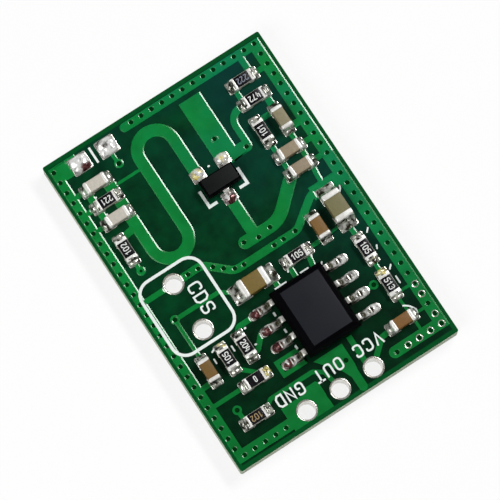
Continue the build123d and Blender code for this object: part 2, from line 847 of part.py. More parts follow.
# White ink: the light cell's frame, the chip and transistor outlines and the jumper's bar
light_cell_mark_middle = (light_cell_x + light_cell_mark_shift[0], light_cell_y + light_cell_mark_shift[1])
chip_dash_y = chip_y + chip_body_length / 2 + chip_dash_rise
corner_mark_x = transistor_body_length / 2 + corner_mark_gap + ink_line / 2
corner_mark_low_y = transistor_y - corner_mark_rise + ink_line
chip_mark_rows = [(above + below) / 2 for above, below in zip(chip_lead_rows, chip_lead_rows[1:])]
with BuildPart() as white_ink:
    with BuildSketch(copper_plane):
        with Locations(light_cell_mark_middle):
            RectangleRounded(
                light_cell_mark_width + ink_line,
                light_cell_mark_length + ink_line,
                light_cell_mark_round + ink_line / 2,
            )
            RectangleRounded(
                light_cell_mark_width - ink_line,
                light_cell_mark_length - ink_line,
                light_cell_mark_round - ink_line / 2,
                mode=Mode.SUBTRACT,
            )
        for side in (-1, 1):
            with BuildLine():
                Polyline(
                    (transistor_x + side * corner_mark_x, corner_mark_low_y + corner_mark_rise),
                    (transistor_x + side * corner_mark_x, corner_mark_low_y),
                    (transistor_x + side * (corner_mark_x - corner_mark_foot), corner_mark_low_y),
                )
            trace(line_width=ink_line)
        with Locations(((jumper_left_x + jumper_right_x) / 2, jumper_y)):
            Rectangle(jumper_mark_width, jumper_mark_height)
        chip_mark_x = chip_x - chip_body_width / 2 - chip_lead_shoulder
        with Locations(*[(chip_mark_x, y) for y in chip_mark_rows]):
            Rectangle(chip_mark_dot, 2 * chip_mark_dot)
        with Locations((chip_x - chip_dash_long, chip_dash_y)):
            Rectangle(chip_dash_long, chip_mark_dot)
        with Locations((chip_x + chip_dash_long, chip_dash_y)):
            Rectangle(chip_dash_short, chip_mark_dot)
    extrude(amount=foil_thickness + ink_thickness)
    for copper in (component_pads, ground_copper, meander_antenna, signal_tracks):
        add(copper.part, mode=Mode.SUBTRACT)
    # The ink keeps off the bare pads
    pad_tops = component_pads.faces().group_by(Axis.Z)[-1]
    extrude(pad_tops, amount=ink_thickness, dir=(0, 0, 1), mode=Mode.SUBTRACT)
white_ink.part.label = "white_ink"
export_step(white_ink.part, "parts/white_ink.step")
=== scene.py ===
"""Dresses the doppler radar sensor board: its copper relief, chip parts, solder, ink and finishes.

The board lies flat, its component side up. X runs along the short side, Y towards the antenna end
and Z up. Sizes and places here are in millimetres, and meshes are written in metres.
"""

import logging
import math
from dataclasses import dataclass
from enum import Enum
from typing import Callable, Iterable, Optional, Sequence, TypeVar

import bmesh
import bpy
from mathutils import Matrix, Vector, noise


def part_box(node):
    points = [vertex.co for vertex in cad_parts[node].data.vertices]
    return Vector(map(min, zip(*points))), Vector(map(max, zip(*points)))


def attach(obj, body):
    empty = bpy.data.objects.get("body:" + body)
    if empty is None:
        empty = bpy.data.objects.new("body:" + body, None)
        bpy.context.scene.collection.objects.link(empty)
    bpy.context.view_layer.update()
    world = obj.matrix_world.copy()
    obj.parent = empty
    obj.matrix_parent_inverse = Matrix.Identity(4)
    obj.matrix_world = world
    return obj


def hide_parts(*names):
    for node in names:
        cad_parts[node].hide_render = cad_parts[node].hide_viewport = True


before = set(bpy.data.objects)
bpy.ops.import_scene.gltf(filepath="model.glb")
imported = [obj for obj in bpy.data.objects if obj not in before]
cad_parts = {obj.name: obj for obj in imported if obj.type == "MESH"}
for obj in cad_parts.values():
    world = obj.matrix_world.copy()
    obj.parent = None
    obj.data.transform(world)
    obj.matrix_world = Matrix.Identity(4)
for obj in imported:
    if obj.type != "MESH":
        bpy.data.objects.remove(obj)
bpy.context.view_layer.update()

log = logging.getLogger("radar_board")

Point = tuple[float, float]
Place = tuple[float, float, float]
Colour = tuple[float, float, float, float]
Stops = Sequence[tuple[float, Colour]]
Part = TypeVar("Part")

MM = 0.001
BODY = "root"
CHIP_LEADS = 8
TRANSISTOR_LEADS = 3
# CAD points nearer to each other than this are merged
MERGE = 0.0008
# CAD faces that turn by less than this are joined
FLAT_DEGREES = 0.4
# Heights that differ by less than this count as the same
SAME_HEIGHT = 0.01
# Lengths below this count as none
NOTHING = 0.0001


def linear(red: int, green: int, blue: int) -> Colour:
    """Turns a screen colour into the linear colour that a shader takes.

    Args:
        red: Red from 0 to 255.
        green: Green from 0 to 255.
        blue: Blue from 0 to 255.

    Returns:
        The linear colour with an alpha of one.
    """
    shares = (channel / 255 for channel in (red, green, blue))
    levels = [s / 12.92 if s <= 0.04045 else ((s + 0.055) / 1.055) ** 2.4 for s in shares]
    return (*levels, 1.0)


def shade(colour: Colour, factor: float) -> Colour:
    """Makes a colour darker or lighter.

    Args:
        colour: A linear colour.
        factor: What each channel is multiplied by.

    Returns:
        The colour, no channel above one.
    """
    return (*(min(1.0, channel * factor) for channel in colour[:3]), 1.0)


@dataclass(frozen=True)
class Box:
    """The box of a CAD node at rest, in millimetres."""

    low: Vector
    high: Vector

    @classmethod
    def of(cls, node: str) -> "Box":
        """The box of the named node."""
        low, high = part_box(node)
        return cls(low / MM, high / MM)

    @property
    def centre(self) -> Vector:
        """Middle of the box."""
        return (self.low + self.high) / 2

    @property
    def size(self) -> Vector:
        """Lengths of the box's sides."""
        return self.high - self.low


BOARD = Box.of("circuit_board")
LAMINATE_TOP = BOARD.high.z
COPPER_TOP = Box.of("component_pads").high.z
FOIL = COPPER_TOP - LAMINATE_TOP


def chip_leads() -> list[Box]:
    """The boxes of the control chip's leads."""
    return [Box.of(f"control_chip_lead_{i}") for i in range(1, CHIP_LEADS + 1)]


def beside_leads(from_toe: float) -> tuple[Point, ...]:
    """Places on the control chip's leads.

    Args:
        from_toe: How far inward of each lead's toe the place is.

    Returns:
        One place for each lead, in plan.
    """
    middle = Box.of("control_chip_body").centre.x
    places = []
    for lead in chip_leads():
        x = lead.high.x - from_toe if lead.centre.x > middle else lead.low.x + from_toe
        places.append((x, lead.centre.y))
    return tuple(places)


def fill_ramp(ramp: bpy.types.ColorRamp, stops: Stops) -> None:
    """Gives a colour ramp its stops.

    Args:
        ramp: The ramp, with two stops or fewer than it gets.
        stops: Places along the ramp with their colours.
    """
    while len(ramp.elements) < len(stops):
        ramp.elements.new(0.5)
    for element, (place, colour) in zip(ramp.elements, stops):
        element.position = place
        element.color = colour


class Graph:
    """A material's node tree with one Principled shader."""

    # What share of a place's reach is wholly covered
    core_share = 0.45
    # Grain and colours of the painted shade laid over metal near given places
    shade_lumps = 6.0
    shade_stops = ((0.35, linear(20, 22, 12)), (0.75, linear(96, 94, 66)))

    def __init__(self, name: str) -> None:
        """Starts the material.

        Args:
            name: The material's name.
        """
        self.material = bpy.data.materials.new(name)
        self.material.use_nodes = True
        self.tree = self.material.node_tree
        self.shader = self.tree.nodes["Principled BSDF"]
        self.place = self.add("ShaderNodeTexCoord").outputs["Object"]

    def add(self, kind: str, **settings: object) -> bpy.types.Node:
        """Adds a node.

        Args:
            kind: The node's type.
            **settings: Properties of the node.

        Returns:
            The node.
        """
        node = self.tree.nodes.new(kind)
        for key, value in settings.items():
            setattr(node, key, value)
        return node

    def join(self, source: bpy.types.NodeSocket, target: bpy.types.NodeSocket) -> None:
        """Links two sockets."""
        self.tree.links.new(source, target)

    def grain(self, per_mm: float, detail: float = 3.0, rough: float = 0.5) -> bpy.types.NodeSocket:
        """Adds noise on the piece's own coordinates.

        Args:
            per_mm: How many lumps lie along a millimetre.
            detail: Octaves of the noise.
            rough: How strong the finer octaves are.

        Returns:
            The noise's level, about 0.5 on average.
        """
        node = self.add("ShaderNodeTexNoise")
        node.inputs["Scale"].default_value = per_mm / MM
        node.inputs["Detail"].default_value = detail
        node.inputs["Roughness"].default_value = rough
        self.join(self.place, node.inputs["Vector"])
        return node.outputs["Fac"]

    def ramp(self, level: bpy.types.NodeSocket, stops: Stops) -> bpy.types.NodeSocket:
        """Turns a level into a colour.

        Args:
            level: The level, from 0 to 1.
            stops: Places along the ramp with their colours.

        Returns:
            The colour.
        """
        node = self.add("ShaderNodeValToRGB")
        fill_ramp(node.color_ramp, stops)
        self.join(level, node.inputs["Fac"])
        return node.outputs["Color"]

    def mix(
        self,
        share: bpy.types.NodeSocket,
        first: bpy.types.NodeSocket,
        second: bpy.types.NodeSocket,
    ) -> bpy.types.NodeSocket:
        """Mixes two colours.

        Args:
            share: How much of the second colour shows.
            first: The first colour.
            second: The second colour.

        Returns:
            The mixed colour.
        """
        node = self.add("ShaderNodeMix", data_type="RGBA")
        self.join(share, node.inputs["Factor"])
        self.join(first, node.inputs["A"])
        self.join(second, node.inputs["B"])
        return node.outputs["Result"]

    def sum_up(self, operation: str, first: object, second: object) -> bpy.types.NodeSocket:
        """Works out a sum of two levels.

        Args:
            operation: The Math node's operation.
            first: A socket or a number.
            second: A socket or a number.

        Returns:
            The result.
        """
        node = self.add("ShaderNodeMath", operation=operation)
        for value, target in zip((first, second), node.inputs):
            if isinstance(value, bpy.types.NodeSocket):
                self.join(value, target)
            else:
                target.default_value = value
        return node.outputs["Value"]

    def between(self, level: bpy.types.NodeSocket, low: float, high: float) -> bpy.types.NodeSocket:
        """Stretches a level from 0 and 1 to two other numbers.

        Args:
            level: The level.
            low: What 0 becomes.
            high: What 1 becomes.

        Returns:
            The stretched level.
        """
        return self.sum_up("ADD", self.sum_up("MULTIPLY", level, high - low), low)

    def axis(self, name: str) -> bpy.types.NodeSocket:
        """Gives one of the piece's own coordinates.

        Args:
            name: X, Y or Z.

        Returns:
            The coordinate in millimetres.
        """
        parts = self.add("ShaderNodeSeparateXYZ")
        self.join(self.place, parts.inputs["Vector"])
        return self.sum_up("MULTIPLY", parts.outputs[name], 1 / MM)

    def span(self, level: bpy.types.NodeSocket, low: float, high: float) -> bpy.types.NodeSocket:
        """Maps a level smoothly from a range to 0 and 1.

        Args:
            level: The level.
            low: Where the result is 0.
            high: Where the result is 1.

        Returns:
            The mapped level.
        """
        node = self.add("ShaderNodeMapRange", interpolation_type="SMOOTHSTEP")
        node.inputs["From Min"].default_value = low
        node.inputs["From Max"].default_value = high
        self.join(level, node.inputs["Value"])
        return node.outputs["Result"]

    def near(self, places: Sequence[Point], reach: float) -> bpy.types.NodeSocket:
        """How close the surface is to the nearest of some places.

        Args:
            places: The places in plan, in millimetres.
            reach: How far from a place the level has fallen to 0.

        Returns:
            1 at the places and 0 beyond their reach.
        """
        flat = self.add("ShaderNodeVectorMath", operation="MULTIPLY")
        flat.inputs[1].default_value = (1 / MM, 1 / MM, 0)
        self.join(self.place, flat.inputs[0])
        nearest: Optional[bpy.types.NodeSocket] = None
        for x, y in places:
            gap = self.add("ShaderNodeVectorMath", operation="DISTANCE")
            gap.inputs[1].default_value = (x, y, 0)
            self.join(flat.outputs["Vector"], gap.inputs[0])
            value = gap.outputs["Value"]
            nearest = value if nearest is None else self.sum_up("MINIMUM", nearest, value)
        return self.sum_up("SUBTRACT", 1.0, self.span(nearest, reach * self.core_share, reach))

    def painted_shade_near(
        self, colour: bpy.types.NodeSocket, places: Sequence[Point], reach: float
    ) -> bpy.types.NodeSocket:
        """Lays painted shade, a dark olive mottle, over a metal near some places.

        Args:
            colour: The metal's colour.
            places: Where the painted shade is, in plan and in millimetres.
            reach: How far it spreads from each place.

        Returns:
            The shaded colour.
        """
        painted_shade = self.ramp(self.grain(self.shade_lumps), self.shade_stops)
        return self.mix(self.near(places, reach), colour, painted_shade)

    def relief(self, height: bpy.types.NodeSocket, depth_mm: float) -> None:
        """Bumps the surface.

        Args:
            height: The bump's height from 0 to 1.
            depth_mm: How deep a full step is, in millimetres.
        """
        node = self.add("ShaderNodeBump")
        node.inputs["Distance"].default_value = depth_mm * MM
        self.join(height, node.inputs["Height"])
        self.join(node.outputs["Normal"], self.shader.inputs["Normal"])

    def settle(self, **constants: float) -> None:
        """Sets the shader's own sockets, underscores standing for spaces."""
        for key, value in constants.items():
            self.shader.inputs[key.replace("_", " ")].default_value = value


@dataclass(frozen=True)
class SolderMask:
    """Glossy green solder mask, over bare laminate or over copper.

    A fade is two places in millimetres, between which one colour gives way to another.
    """

    name: str
    deep: Colour
    bright: Colour
    # Colour of the painted sheen that grows towards the upper right
    teal_sheen: Colour
    margin: Colour
    gloss: float
    # How far the painted shade darkens the green at the header
    header_shade: float
    header_shade_fade: Point = (-6.0, 1.0)
    sheen_lean: Point = (0.6, 0.4)
    sheen_fade: Point = (-1.5, 8.5)
    sheen_clouds: Point = (0.3, 0.62)
    sheen_lift: float = 1.25
    margin_fade: Point = (-0.36, -0.26)
    margin_lift: float = 1.3
    rough: Point = (0.14, 0.26)
    ripple: float = 0.005

    def green(self, g: Graph) -> bpy.types.NodeSocket:
        """Makes the clouded green, with painted shade darkening it towards the header.

        Args:
            g: The material's node tree.

        Returns:
            The colour.
        """
        cloud = g.grain(0.9, 4.0)
        full = g.ramp(cloud, ((0.3, self.deep), (0.7, self.bright)))
        dim = g.ramp(cloud, ((0.3, shade(self.deep, self.header_shade)), (0.7, shade(self.bright, self.header_shade))))
        return g.mix(g.span(g.axis("Y"), *self.header_shade_fade), dim, full)

    def drift(self, g: Graph) -> bpy.types.NodeSocket:
        """Finds how much painted teal sheen lies on the mask, which grows in clouds towards the upper right.

        Args:
            g: The material's node tree.

        Returns:
            The share of painted teal sheen.
        """
        across = g.sum_up("MULTIPLY", g.axis("X"), self.sheen_lean[0])
        along = g.sum_up("MULTIPLY", g.axis("Y"), self.sheen_lean[1])
        corner = g.span(g.sum_up("ADD", across, along), *self.sheen_fade)
        return g.sum_up("MULTIPLY", corner, g.span(g.grain(0.22, 2.0), *self.sheen_clouds))

    def rim(self, g: Graph) -> bpy.types.NodeSocket:
        """Finds the margin round the board that has no copper.

        Args:
            g: The material's node tree.

        Returns:
            1 on the margin and 0 inside it.
        """
        edge_x = g.sum_up("SUBTRACT", g.sum_up("ABSOLUTE", g.axis("X"), 0.0), BOARD.high.x)
        edge_y = g.sum_up("SUBTRACT", g.sum_up("ABSOLUTE", g.axis("Y"), 0.0), BOARD.high.y)
        return g.span(g.sum_up("MAXIMUM", edge_x, edge_y), *self.margin_fade)

    def material(self) -> bpy.types.Material:
        """Makes the finish, with a painted teal sheen at the upper right, painted shade at the header, and
        paler on the bare margin.

        Returns:
            The material.
        """
        g = Graph(self.name)
        teal_sheen = g.ramp(g.grain(1.1), ((0.0, self.teal_sheen), (1.0, shade(self.teal_sheen, self.sheen_lift))))
        margin = g.ramp(g.grain(3.0), ((0.2, self.margin), (0.8, shade(self.margin, self.margin_lift))))
        tinted = g.mix(self.drift(g), self.green(g), teal_sheen)
        g.join(g.mix(self.rim(g), tinted, margin), g.shader.inputs["Base Color"])
        g.join(g.between(g.grain(2.5), *self.rough), g.shader.inputs["Roughness"])
        g.relief(g.grain(2.2, 3.0), self.ripple)
        g.settle(Specular_IOR_Level=self.gloss)
        return g.material


@dataclass(frozen=True)
class CutLaminate:
    """Sawn glass fibre board with its layers of cloth showing."""

    name: str = "cut_laminate"
    layer: float = 0.19
    sway: float = 0.05
    colours: Stops = (
        (0.15, linear(126, 140, 112)),
        (0.5, linear(172, 184, 158)),
        (0.85, linear(216, 222, 204)),
    )
    saw_marks: float = 0.03
    roughness: float = 0.75
    specular: float = 0.3

    def material(self) -> bpy.types.Material:
        """Makes the finish, in pale and paler layers with a rough cut.

        Returns:
            The material.
        """
        g = Graph(self.name)
        level = g.sum_up("ADD", g.axis("Z"), g.sum_up("MULTIPLY", g.grain(1.4), self.sway))
        wave = g.sum_up("SINE", g.sum_up("MULTIPLY", level, 2 * math.pi / self.layer), 0.0)
        layers = g.sum_up("MULTIPLY", g.sum_up("ADD", wave, 1.0), 0.25)
        tone = g.sum_up("ADD", layers, g.sum_up("MULTIPLY", g.grain(7.0), 0.5))
        g.join(g.ramp(tone, self.colours), g.shader.inputs["Base Color"])
        g.relief(g.grain(9.0), self.saw_marks)
        g.settle(Roughness=self.roughness, Specular_IOR_Level=self.specular)
        return g.material


@dataclass(frozen=True)
class Metal:
    """Tin or tinned copper, with a lumpy or a smooth skin, and painted shade near given places."""

    name: str
    colour: Colour
    dull: Colour
    rough: Point
    lumps_per_mm: float
    lump_depth: float
    metallic: float
    painted_shade: tuple[Point, ...] = ()
    shade_reach: float = 0.3

    def material(self) -> bpy.types.Material:
        """Makes the finish, with duller clouds and a fine relief.

        Returns:
            The material.
        """
        g = Graph(self.name)
        clouds = g.span(g.grain(1.6, 4.0, 0.6), 0.35, 0.65)
        tint = g.ramp(clouds, ((0.0, self.dull), (1.0, self.colour)))
        if self.painted_shade:
            tint = g.painted_shade_near(tint, self.painted_shade, self.shade_reach)
        g.join(tint, g.shader.inputs["Base Color"])
        g.join(g.between(g.grain(5.0), *self.rough), g.shader.inputs["Roughness"])
        g.relief(g.grain(self.lumps_per_mm, 3.0, 0.55), self.lump_depth)
        g.settle(Metallic=self.metallic)
        return g.material


@dataclass(frozen=True)
class SetSolder:
    """Solder with white crests that are in part painted highlight, dark patches of painted reflection, painted
    shade near given places, an amber film of rosin here and there, and a dark red painted reflection at some
    places and in strays.

    Patches and strays are the two levels of noise between which a film or the painted red reflection begins.
    """

    name: str
    dark_reflection: Colour
    bright_and_highlight: Colour
    balance: float
    metallic: float
    painted_shade: tuple[Point, ...] = ()
    shade_reach: float = 0.3
    softness: Point = (0.1, 0.08)
    amber: Stops = ((0.3, linear(206, 180, 70)), (0.7, linear(244, 240, 176)))
    amber_at: tuple[Point, ...] = (
        (-3.32, -7.3),
        (6.22, -5.85),
        (1.9, 5.75),
        (-0.2, 5.75),
        (-4.75, -4.3),
    )
    amber_patches: Point = (0.42, 0.56)
    # Colours of the dark red painted reflection, and the places where it lies
    maroon_reflection: Stops = ((0.35, linear(48, 10, 16)), (0.7, linear(120, 72, 70)))
    maroon_reflection_at: tuple[Point, ...] = (
        (-2.05, -3.8),
        (-2.1, -5.1),
        (-2.0, -6.35),
        (-2.1, -7.6),
        (0.8, 3.35),
        (-5.85, 10.1),
    )
    maroon_reflection_patches: Point = (0.36, 0.48)
    reach: float = 0.62
    strays: Point = (0.6, 0.66)
    stray_strength: float = 0.3
    film_dulls: float = 0.85
    rough: Point = (0.12, 0.32)
    lump_depth: float = 0.05

    def patches(
        self, g: Graph, places: Sequence[Point], lumps_per_mm: float, levels: Point
    ) -> bpy.types.NodeSocket:
        """Finds where a film of flux lies.

        Args:
            g: The material's node tree.
            places: The places that it gathers round.
            lumps_per_mm: How fine its patches are.
            levels: The two levels of noise between which it begins.

        Returns:
            The film's strength.
        """
        patchy = g.span(g.grain(lumps_per_mm, 3.0), *levels)
        return g.sum_up("MULTIPLY", g.near(places, self.reach), patchy)

    def material(self) -> bpy.types.Material:
        """Makes the finish.

        Returns:
            The material.
        """
        g = Graph(self.name)
        dark, light = self.balance - self.softness[0], self.balance + self.softness[1]
        # Noise splits the solder into dark patches of painted reflection and crests that are white in part as
        # painted highlight
        solder_with_reflections = g.ramp(g.grain(2.4, 3.0), ((dark, self.dark_reflection), (light, self.bright_and_highlight)))
        if self.painted_shade:
            solder_with_reflections = g.painted_shade_near(solder_with_reflections, self.painted_shade, self.shade_reach)
        film = self.patches(g, self.amber_at, 3.2, self.amber_patches)
        # A dark red painted reflection near the listed places and in stray patches
        maroon_reflection_share = self.patches(g, self.maroon_reflection_at, 2.6, self.maroon_reflection_patches)
        stray = g.sum_up("MULTIPLY", g.span(g.grain(2.1, 2.0), *self.strays), self.stray_strength)
        stained = g.mix(film, solder_with_reflections, g.ramp(g.grain(5.0), self.amber))
        stained_and_reflected = g.mix(g.sum_up("MAXIMUM", maroon_reflection_share, stray), stained, g.ramp(g.grain(5.0), self.maroon_reflection))
        g.join(stained_and_reflected, g.shader.inputs["Base Color"])
        g.join(g.between(g.grain(3.0), *self.rough), g.shader.inputs["Roughness"])
        bare = g.sum_up("SUBTRACT", 1.0, g.sum_up("MULTIPLY", film, self.film_dulls))
        g.join(g.sum_up("MULTIPLY", bare, self.metallic), g.shader.inputs["Metallic"])
        g.relief(g.grain(2.6, 1.5), self.lump_depth)
        return g.material


@dataclass(frozen=True)
class Speckled:
    """A plain body such as ceramic, epoxy or ink: a mottled colour over a fine relief."""

    name: str
    colour: Colour
    spread: float
    roughness: float
    grain_per_mm: float
    depth: float
    specular: float
    drift: float = 0.15

    def material(self) -> bpy.types.Material:
        """Makes the finish.

        Returns:
            The material.
        """
        g = Graph(self.name)
        low, high = shade(self.colour, 1 - self.spread), shade(self.colour, 1 + self.spread)
        mottle = g.grain(self.grain_per_mm, 5.0, 0.6)
        g.join(g.ramp(mottle, ((0.3, low), (0.7, high))), g.shader.inputs["Base Color"])
        dullness = g.between(g.grain(0.8), self.roughness - self.drift, self.roughness + self.drift)
        g.join(dullness, g.shader.inputs["Roughness"])
        g.relief(g.grain(self.grain_per_mm * 2), self.depth)
        g.settle(Specular_IOR_Level=self.specular)
        return g.material


class Tone(Enum):
    """The paints of the resistors' numbers, as screen colours."""

    WHITE = (232, 234, 230)
    TAN = (158, 136, 98)
    FAINT = (128, 134, 146)


class Finishes:
    """Every finish on the board, made once."""

    neck_from_toe = 0.03
    bend_from_toe = 0.64
    pad_shade_reach = 0.5

    def __init__(self) -> None:
        """Makes the materials."""
        self.cut = CutLaminate().material()
        self.make_masks()
        self.make_metals()
        self.make_bodies()
        self.digits = {tone: self.marking(tone) for tone in Tone}

    def make_masks(self) -> None:
        """Makes the solder mask as it looks on laminate and on copper."""
        self.laminate = SolderMask(
            "mask_on_laminate",
            deep=linear(0, 42, 21),
            bright=linear(0, 66, 33),
            teal_sheen=linear(4, 52, 46),
            margin=linear(0, 72, 30),
            gloss=0.28,
            header_shade=0.5,
        ).material()
        self.copper = SolderMask(
            "mask_on_copper",
            deep=linear(0, 118, 46),
            bright=linear(4, 136, 58),
            teal_sheen=linear(0, 118, 74),
            margin=linear(0, 112, 46),
            gloss=0.6,
            header_shade=0.78,
        ).material()

    def make_metals(self) -> None:
        """Makes the solder and the tinned surfaces."""
        # Painted shade lies at the necks of the lumps on the chip's leads and at the leads' bends, where leads
        # and solder slope down
        necks, bends = beside_leads(self.neck_from_toe), beside_leads(self.bend_from_toe)
        self.solder = SetSolder(
            "solder",
            dark_reflection=linear(56, 54, 42),
            bright_and_highlight=linear(255, 255, 252),
            balance=0.41,
            metallic=0.35,
            painted_shade=necks,
        ).material()
        # Darker than the solder on the leads: more painted reflection of dark surroundings
        self.end_solder = SetSolder(
            "end_solder",
            dark_reflection=linear(52, 52, 38),
            bright_and_highlight=linear(244, 244, 234),
            balance=0.48,
            metallic=0.7,
        ).material()
        self.cap = Metal(
            "matte_tin",
            colour=linear(252, 252, 249),
            dull=linear(232, 230, 223),
            rough=(0.3, 0.42),
            lumps_per_mm=2.5,
            lump_depth=0.01,
            metallic=0.25,
        ).material()
        self.tin = Metal(
            "tin_plate",
            colour=linear(250, 249, 244),
            dull=linear(206, 202, 194),
            rough=(0.16, 0.36),
            lumps_per_mm=2.5,
            lump_depth=0.012,
            metallic=0.45,
            painted_shade=bends,
        ).material()
        self.pad = Metal(
            "tinned_copper",
            colour=linear(244, 243, 237),
            dull=linear(212, 208, 196),
            rough=(0.14, 0.34),
            lumps_per_mm=3.0,
            lump_depth=0.02,
            metallic=0.8,
            painted_shade=necks + bends,
            shade_reach=self.pad_shade_reach,
        ).material()

    def make_bodies(self) -> None:
        """Makes the ink, the mouldings with a darker copy of the epoxy as painted shade for their sides, the
        resistors' plate and glaze and the painted shade in the vias' bores.
        """
        self.ink = Speckled("white_ink", linear(236, 244, 240), 0.05, 0.55, 6.0, 0.004, 0.3).material()
        self.epoxy = Speckled("moulded_epoxy", linear(5, 8, 20), 0.1, 0.5, 14.0, 0.002, 0.28).material()
        # A darker, duller copy of the epoxy: painted shade on the mouldings' sides and slopes
        self.epoxy_painted_shade = Speckled(
            "moulded_epoxy_painted_shade", linear(1, 1, 3), 0.2, 0.7, 14.0, 0.002, 0.04
        ).material()
        self.small_epoxy = Speckled(
            "small_moulded_epoxy", linear(3, 6, 6), 0.1, 0.46, 14.0, 0.002, 0.2
        ).material()
        self.alumina = Speckled("alumina", linear(176, 178, 166), 0.05, 0.6, 8.0, 0.004, 0.3).material()
        self.glaze = Speckled("black_glaze", linear(14, 14, 19), 0.2, 0.24, 5.0, 0.003, 0.4).material()
        # Dark green disc at the bottom of each via: painted shade standing in for the dark hole
        self.bore_shade = Speckled("via_bore_shade", linear(0, 46, 12), 0.2, 0.85, 6.0, 0.002, 0.03).material()

    def marking(self, tone: Tone) -> bpy.types.Material:
        """The paint of a resistor's number."""
        name = f"marking_{tone.name.lower()}"
        return Speckled(name, linear(*tone.value), 0.06, 0.5, 8.0, 0.002, 0.3).material()

    def ceramic(self, name: str, colour: Colour) -> bpy.types.Material:
        """A capacitor's fired ceramic, of that name and colour."""
        return Speckled(name, colour, 0.1, 0.5, 7.0, 0.006, 0.35).material()


def copy_of(node: str) -> bmesh.types.BMesh:
    """Copies a CAD node's mesh, merges its loose triangles and joins them into flat faces.

    Args:
        node: The node's name.

    Returns:
        The mesh, in millimetres.
    """
    bm = bmesh.new()
    bm.from_mesh(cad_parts[node].data)
    bmesh.ops.scale(bm, vec=Vector((1, 1, 1)) / MM, verts=bm.verts)
    return flattened(bm)


def flattened(bm: bmesh.types.BMesh) -> bmesh.types.BMesh:
    """Merges a mesh's loose triangles and joins those that lie in one plane.

    Args:
        bm: The mesh, in millimetres.

    Returns:
        The same mesh.
    """
    bmesh.ops.remove_doubles(bm, verts=bm.verts, dist=MERGE)
    bmesh.ops.dissolve_limit(
        bm,
        angle_limit=math.radians(FLAT_DEGREES),
        use_dissolve_boundaries=False,
        verts=bm.verts,
        edges=bm.edges,
    )
    return bm


def bevelled(
    bm: bmesh.types.BMesh, edges: Iterable[bmesh.types.BMEdge], width: float, segments: int = 2
) -> None:
    """Rounds edges.

    Args:
        bm: The mesh.
        edges: The edges to round.
        width: How far the bevel reaches on each side.
        segments: Faces across the bevel.
    """
    bmesh.ops.bevel(
        bm,
        geom=list(edges),
        offset=width,
        offset_type="OFFSET",
        affect="EDGES",
        segments=segments,
        profile=0.5,
        clamp_overlap=True,
        material=-1,
    )


def spun(bm: bmesh.types.BMesh, profile: Sequence[Point], centre: Place, steps: int) -> None:
    """Turns a closed profile about an upright axis.

    Args:
        bm: The mesh that takes it.
        profile: Radii and heights of the profile's corners.
        centre: The foot of the axis.
        steps: Faces round the turn.
    """
    x, y, z = centre
    verts = [bm.verts.new((x + r, y, z + h)) for r, h in profile]
    edges = [bm.edges.new((a, b)) for a, b in zip(verts, verts[1:] + verts[:1])]
    bmesh.ops.spin(
        bm,
        geom=verts + edges,
        cent=(x, y, z),
        axis=(0, 0, 1),
        dvec=(0, 0, 0),
        angle=2 * math.pi,
        steps=steps,
        use_merge=True,
        use_duplicate=False,
    )
    bmesh.ops.recalc_face_normals(bm, faces=bm.faces)


def block(
    bm: bmesh.types.BMesh, low: Place, high: Place, soft: float, number: int, segments: int = 3
) -> None:
    """Adds a block with rounded edges.

    Args:
        bm: The mesh that takes it.
        low: Its lowest corner.
        high: Its highest corner.
        soft: How far its edges are rounded.
        number: The number of its material.
        segments: Faces across each rounded edge.
    """
    size = Vector(high) - Vector(low)
    middle = (Vector(high) + Vector(low)) / 2
    place = Matrix.Translation(middle) @ Matrix.Diagonal((*size, 1))
    faces = new_faces(bmesh.ops.create_cube(bm, size=1.0, matrix=place))
    paint(faces, number)
    bevelled(bm, each_once(e for f in faces for e in f.edges), soft, segments)


def crease(edge: bmesh.types.BMEdge, degrees: float = 30.0) -> bool:
    """Whether the two faces at an edge turn by more than an angle."""
    return len(edge.link_faces) == 2 and edge.calc_face_angle(0.0) > math.radians(degrees)


def rises(edge: bmesh.types.BMEdge) -> float:
    """How much higher one end of an edge is than the other."""
    return abs(edge.verts[0].co.z - edge.verts[1].co.z)


def at_level(part: bmesh.types.BMEdge | bmesh.types.BMFace, level: float, gap: float) -> bool:
    """Whether an edge or a face lies wholly at a height, to within a gap."""
    return all(abs(v.co.z - level) < gap for v in part.verts)


def each_once(parts: Iterable[Part]) -> list[Part]:
    """The parts without repeats and in their order, so that each run makes the same mesh."""
    return list(dict.fromkeys(parts))


def new_faces(result: dict) -> list[bmesh.types.BMFace]:
    """The faces round the vertices that a create operator made."""
    return each_once(face for vert in result["verts"] for face in vert.link_faces)


def new_verts(geometry: Iterable[object]) -> list[bmesh.types.BMVert]:
    """The vertices among what an operator returns."""
    return [part for part in geometry if isinstance(part, bmesh.types.BMVert)]


def paint(faces: Iterable[bmesh.types.BMFace], number: int) -> None:
    """Gives faces the material of that number."""
    for face in faces:
        face.material_index = number


def shown(name: str, data: bpy.types.ID) -> bpy.types.Object:
    """Puts a mesh, a lamp or a camera into the scene.

    Args:
        name: The object's name.
        data: What it shows.

    Returns:
        The object.
    """
    thing = bpy.data.objects.new(name, data)
    bpy.context.scene.collection.objects.link(thing)
    return thing


def meshed(name: str, bm: bmesh.types.BMesh) -> bpy.types.Mesh:
    """Turns a bmesh into a mesh.

    Args:
        name: The mesh's name.
        bm: The bmesh, freed here.

    Returns:
        The mesh.
    """
    mesh = bpy.data.meshes.new(name)
    bm.to_mesh(mesh)
    bm.free()
    return mesh


